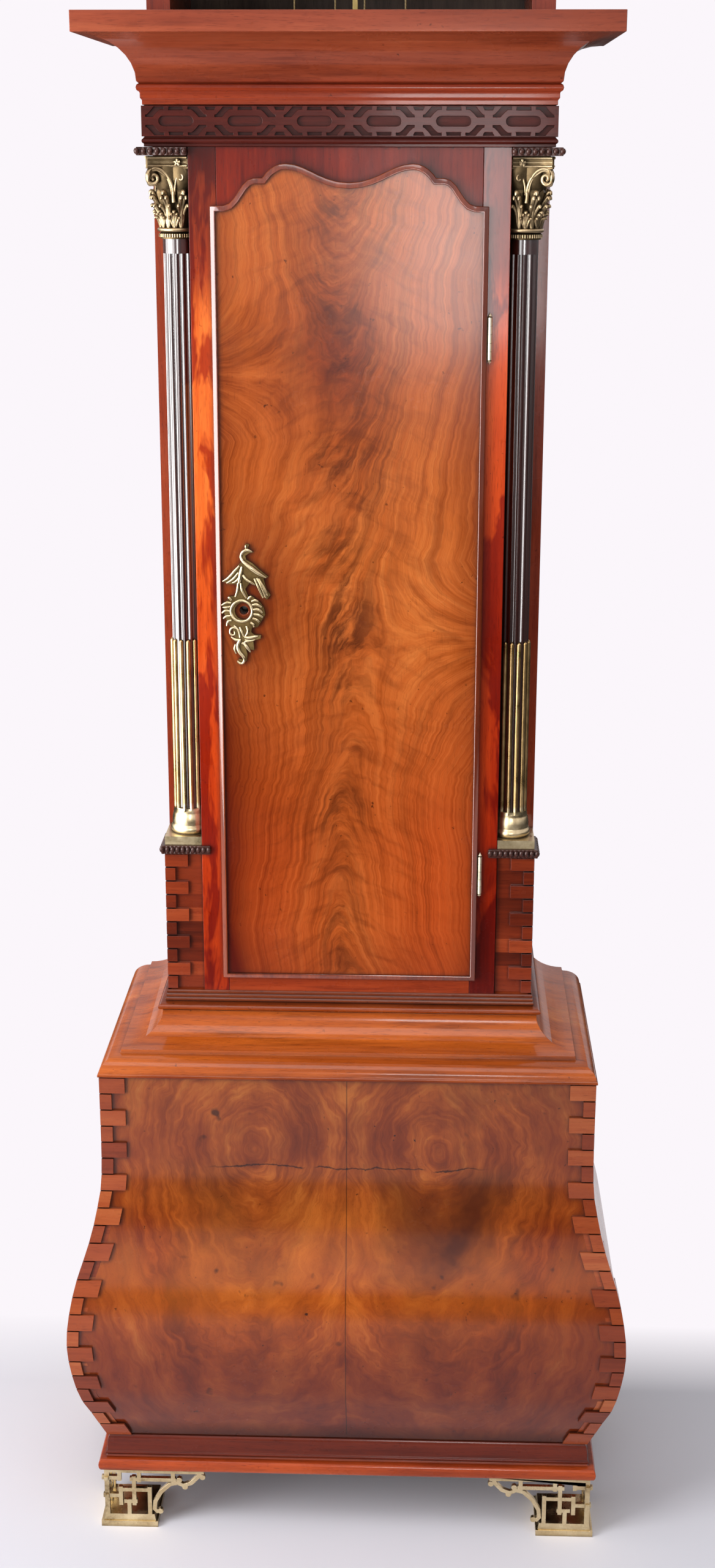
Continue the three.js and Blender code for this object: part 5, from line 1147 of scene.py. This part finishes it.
def buildLines():
    back, low = lines["back"], lines["pulley"]
    for name, (wound, held) in lines["falls"].items():
        middle, bend = (wound + held) / 2, (held - wound) / 2
        # the turn under the pulley rides with the weight
        for part, x, top in (("Wound", wound, lines["top"]), ("Held", held, lines["seat"])):
            steps = [(x, back, low + (top - low) * i / 12) for i in range(13)]
            fall = bar(name + "Line" + part, [steps], lines["radius"], 2, False)
            finish(fall, gutSkin, "case", [name + "_gut_line"])
            keep = (top - low - lines["lift"]) / (top - low)
            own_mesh(fall)
        angles = [i * math.pi / 14 for i in range(15)]
        turn = [(middle - bend * math.cos(a), back, low - bend * math.sin(a)) for a in angles]
        under = bar(name + "LineTurn", [turn], lines["radius"], 2, False)
        finish(under, gutSkin, bodyOf[name + "_weight"], [name + "_gut_line"])


buildLines()
print("lines")


# Studio: pale floor and backdrop, soft lamps, and the camera of the photograph

studio = {"wall": "fbf6fb", "paper": ("d8d8e1", "e1e0e8"), "size": 3.4, "fill": 0.36, "dim": 0.05,
          "fadeFrom": 0.17, "fadeTo": 0.34, "near": 1, "far": 1.6}
# the card on the left is seen by polish alone, as the window the columns mirror
lamps = {
    "cardLeft": {"at": (-2.25, -1.3, 1.3), "to": (0, 0, 1.1), "size": (4.2, 2.4), "power": 165, "polishOnly": True},
    "keyLeft": {"at": (-1.9, -1.25, 1.15), "to": (0, 0, 1.05), "size": (1.2, 2.3), "power": 68},
    "fillRight": {"at": (2.5, -2.4, 1.5), "to": (0, 0, 1), "size": (1.2, 2), "power": 3},
    "overhead": {"at": (-0.3, -1.3, 4), "to": (0, 0, 0.6), "size": (2.6, 1.8), "power": 50},
    "bySide": {"at": (0.16, -3.2, 1.48), "to": (0.05, 0, 1.48), "size": (0.4, 0.62), "power": 15},
}
view = {"at": (0.08914, -2.37627, 1.6306), "down": 16.649, "turn": 1.969, "roll": 0.087, "lens": 48.28, "tall": 36}


def seenRays():
    rays = addNode("LightPath").outputs
    return Field(rays["Is Camera Ray"]).larger(rays["Is Transmission Ray"]), Field(rays["Is Glossy Ray"])


def buildFloor():
    floor = added(bpy.ops.mesh.primitive_plane_add, size=studio["size"], location=(0, 0, 0))
    floor.name = "floor"
    material, shader = emptyMaterial("floorPaper")
    coords, (x, y, z) = place()
    cloth = noise(coords, 1.2)
    dark, pale = studio["paper"]
    plug(shader, {"Base Color": ramp(cloth, [(0, dark), (1, pale)]),
                  "Roughness": cloth.between(0.3, 0.7, 0.75, 0.85)})
    # the paper turns into the wall's white behind the clock and far from it
    apart = (x ** 2 + y ** 2).math("SQRT").between(studio["near"], studio["far"])
    fade = y.between(studio["fadeFrom"], studio["fadeTo"]).larger(apart)
    seen, glossy = seenRays()
    glow = addNode("Emission", {0: tone(studio["wall"]), 1: 1})
    blend = addNode("MixShader", {0: seen.larger(glossy) * fade, 1: shader.outputs[0], 2: glow.outputs[0]})
    output = next(made for made in material.node_tree.nodes if made.type == "OUTPUT_MATERIAL")
    plug(output, {0: blend.outputs[0]})
    floor.data.materials.append(material)


def buildRoom():
    world = bpy.data.worlds.new("studio")
    bpy.context.scene.world = world
    world.use_nodes = True
    drawing["tree"] = world.node_tree
    world.node_tree.nodes.clear()
    # the room is bright above and dim from the horizon down, where polish finds no floor to mirror
    _, (x, y, z) = place()
    seen, glossy = seenRays()
    light = z.between(-0.05, 0.35, studio["dim"], studio["fill"])
    plain = addNode("Background", {0: (1, 0.99, 0.985, 1), 1: light})
    shown = addNode("Background", {0: tone(studio["wall"]), 1: 1})
    white = seen.larger(glossy * z.between(-0.05, 0.05))
    both = addNode("MixShader", {0: white, 1: plain.outputs[0], 2: shown.outputs[0]})
    addNode("OutputWorld", {0: both.outputs[0]})


def buildLamps():
    for name, lamp in lamps.items():
        made = added(bpy.ops.object.light_add, type="AREA", location=lamp["at"])
        made.name = name
        made.data.shape = "RECTANGLE"
        made.data.size, made.data.size_y = lamp["size"]
        made.data.energy = lamp["power"]
        made.visible_camera = False
        made.visible_diffuse = not lamp.get("polishOnly", False)
        made.rotation_euler = (Vector(lamp["to"]) - Vector(lamp["at"])).to_track_quat("-Z", "Y").to_euler()


def buildCamera():
    camera = newObject("camera", bpy.data.cameras.new("camera"))
    camera.data.sensor_fit = "VERTICAL"
    camera.data.sensor_height = view["tall"]
    camera.data.lens = view["lens"]
    camera.matrix_world = Matrix.Translation(view["at"])
    for degrees, axis in ((view["turn"], "Z"), (90 - view["down"], "X"), (view["roll"], "Z")):
        camera.matrix_world = camera.matrix_world @ Matrix.Rotation(math.radians(degrees), 4, axis)
    bpy.context.scene.camera = camera
    bpy.context.scene.view_settings.view_transform = "Standard"


buildFloor()
buildRoom()
buildLamps()
buildCamera()
print("studio and camera")
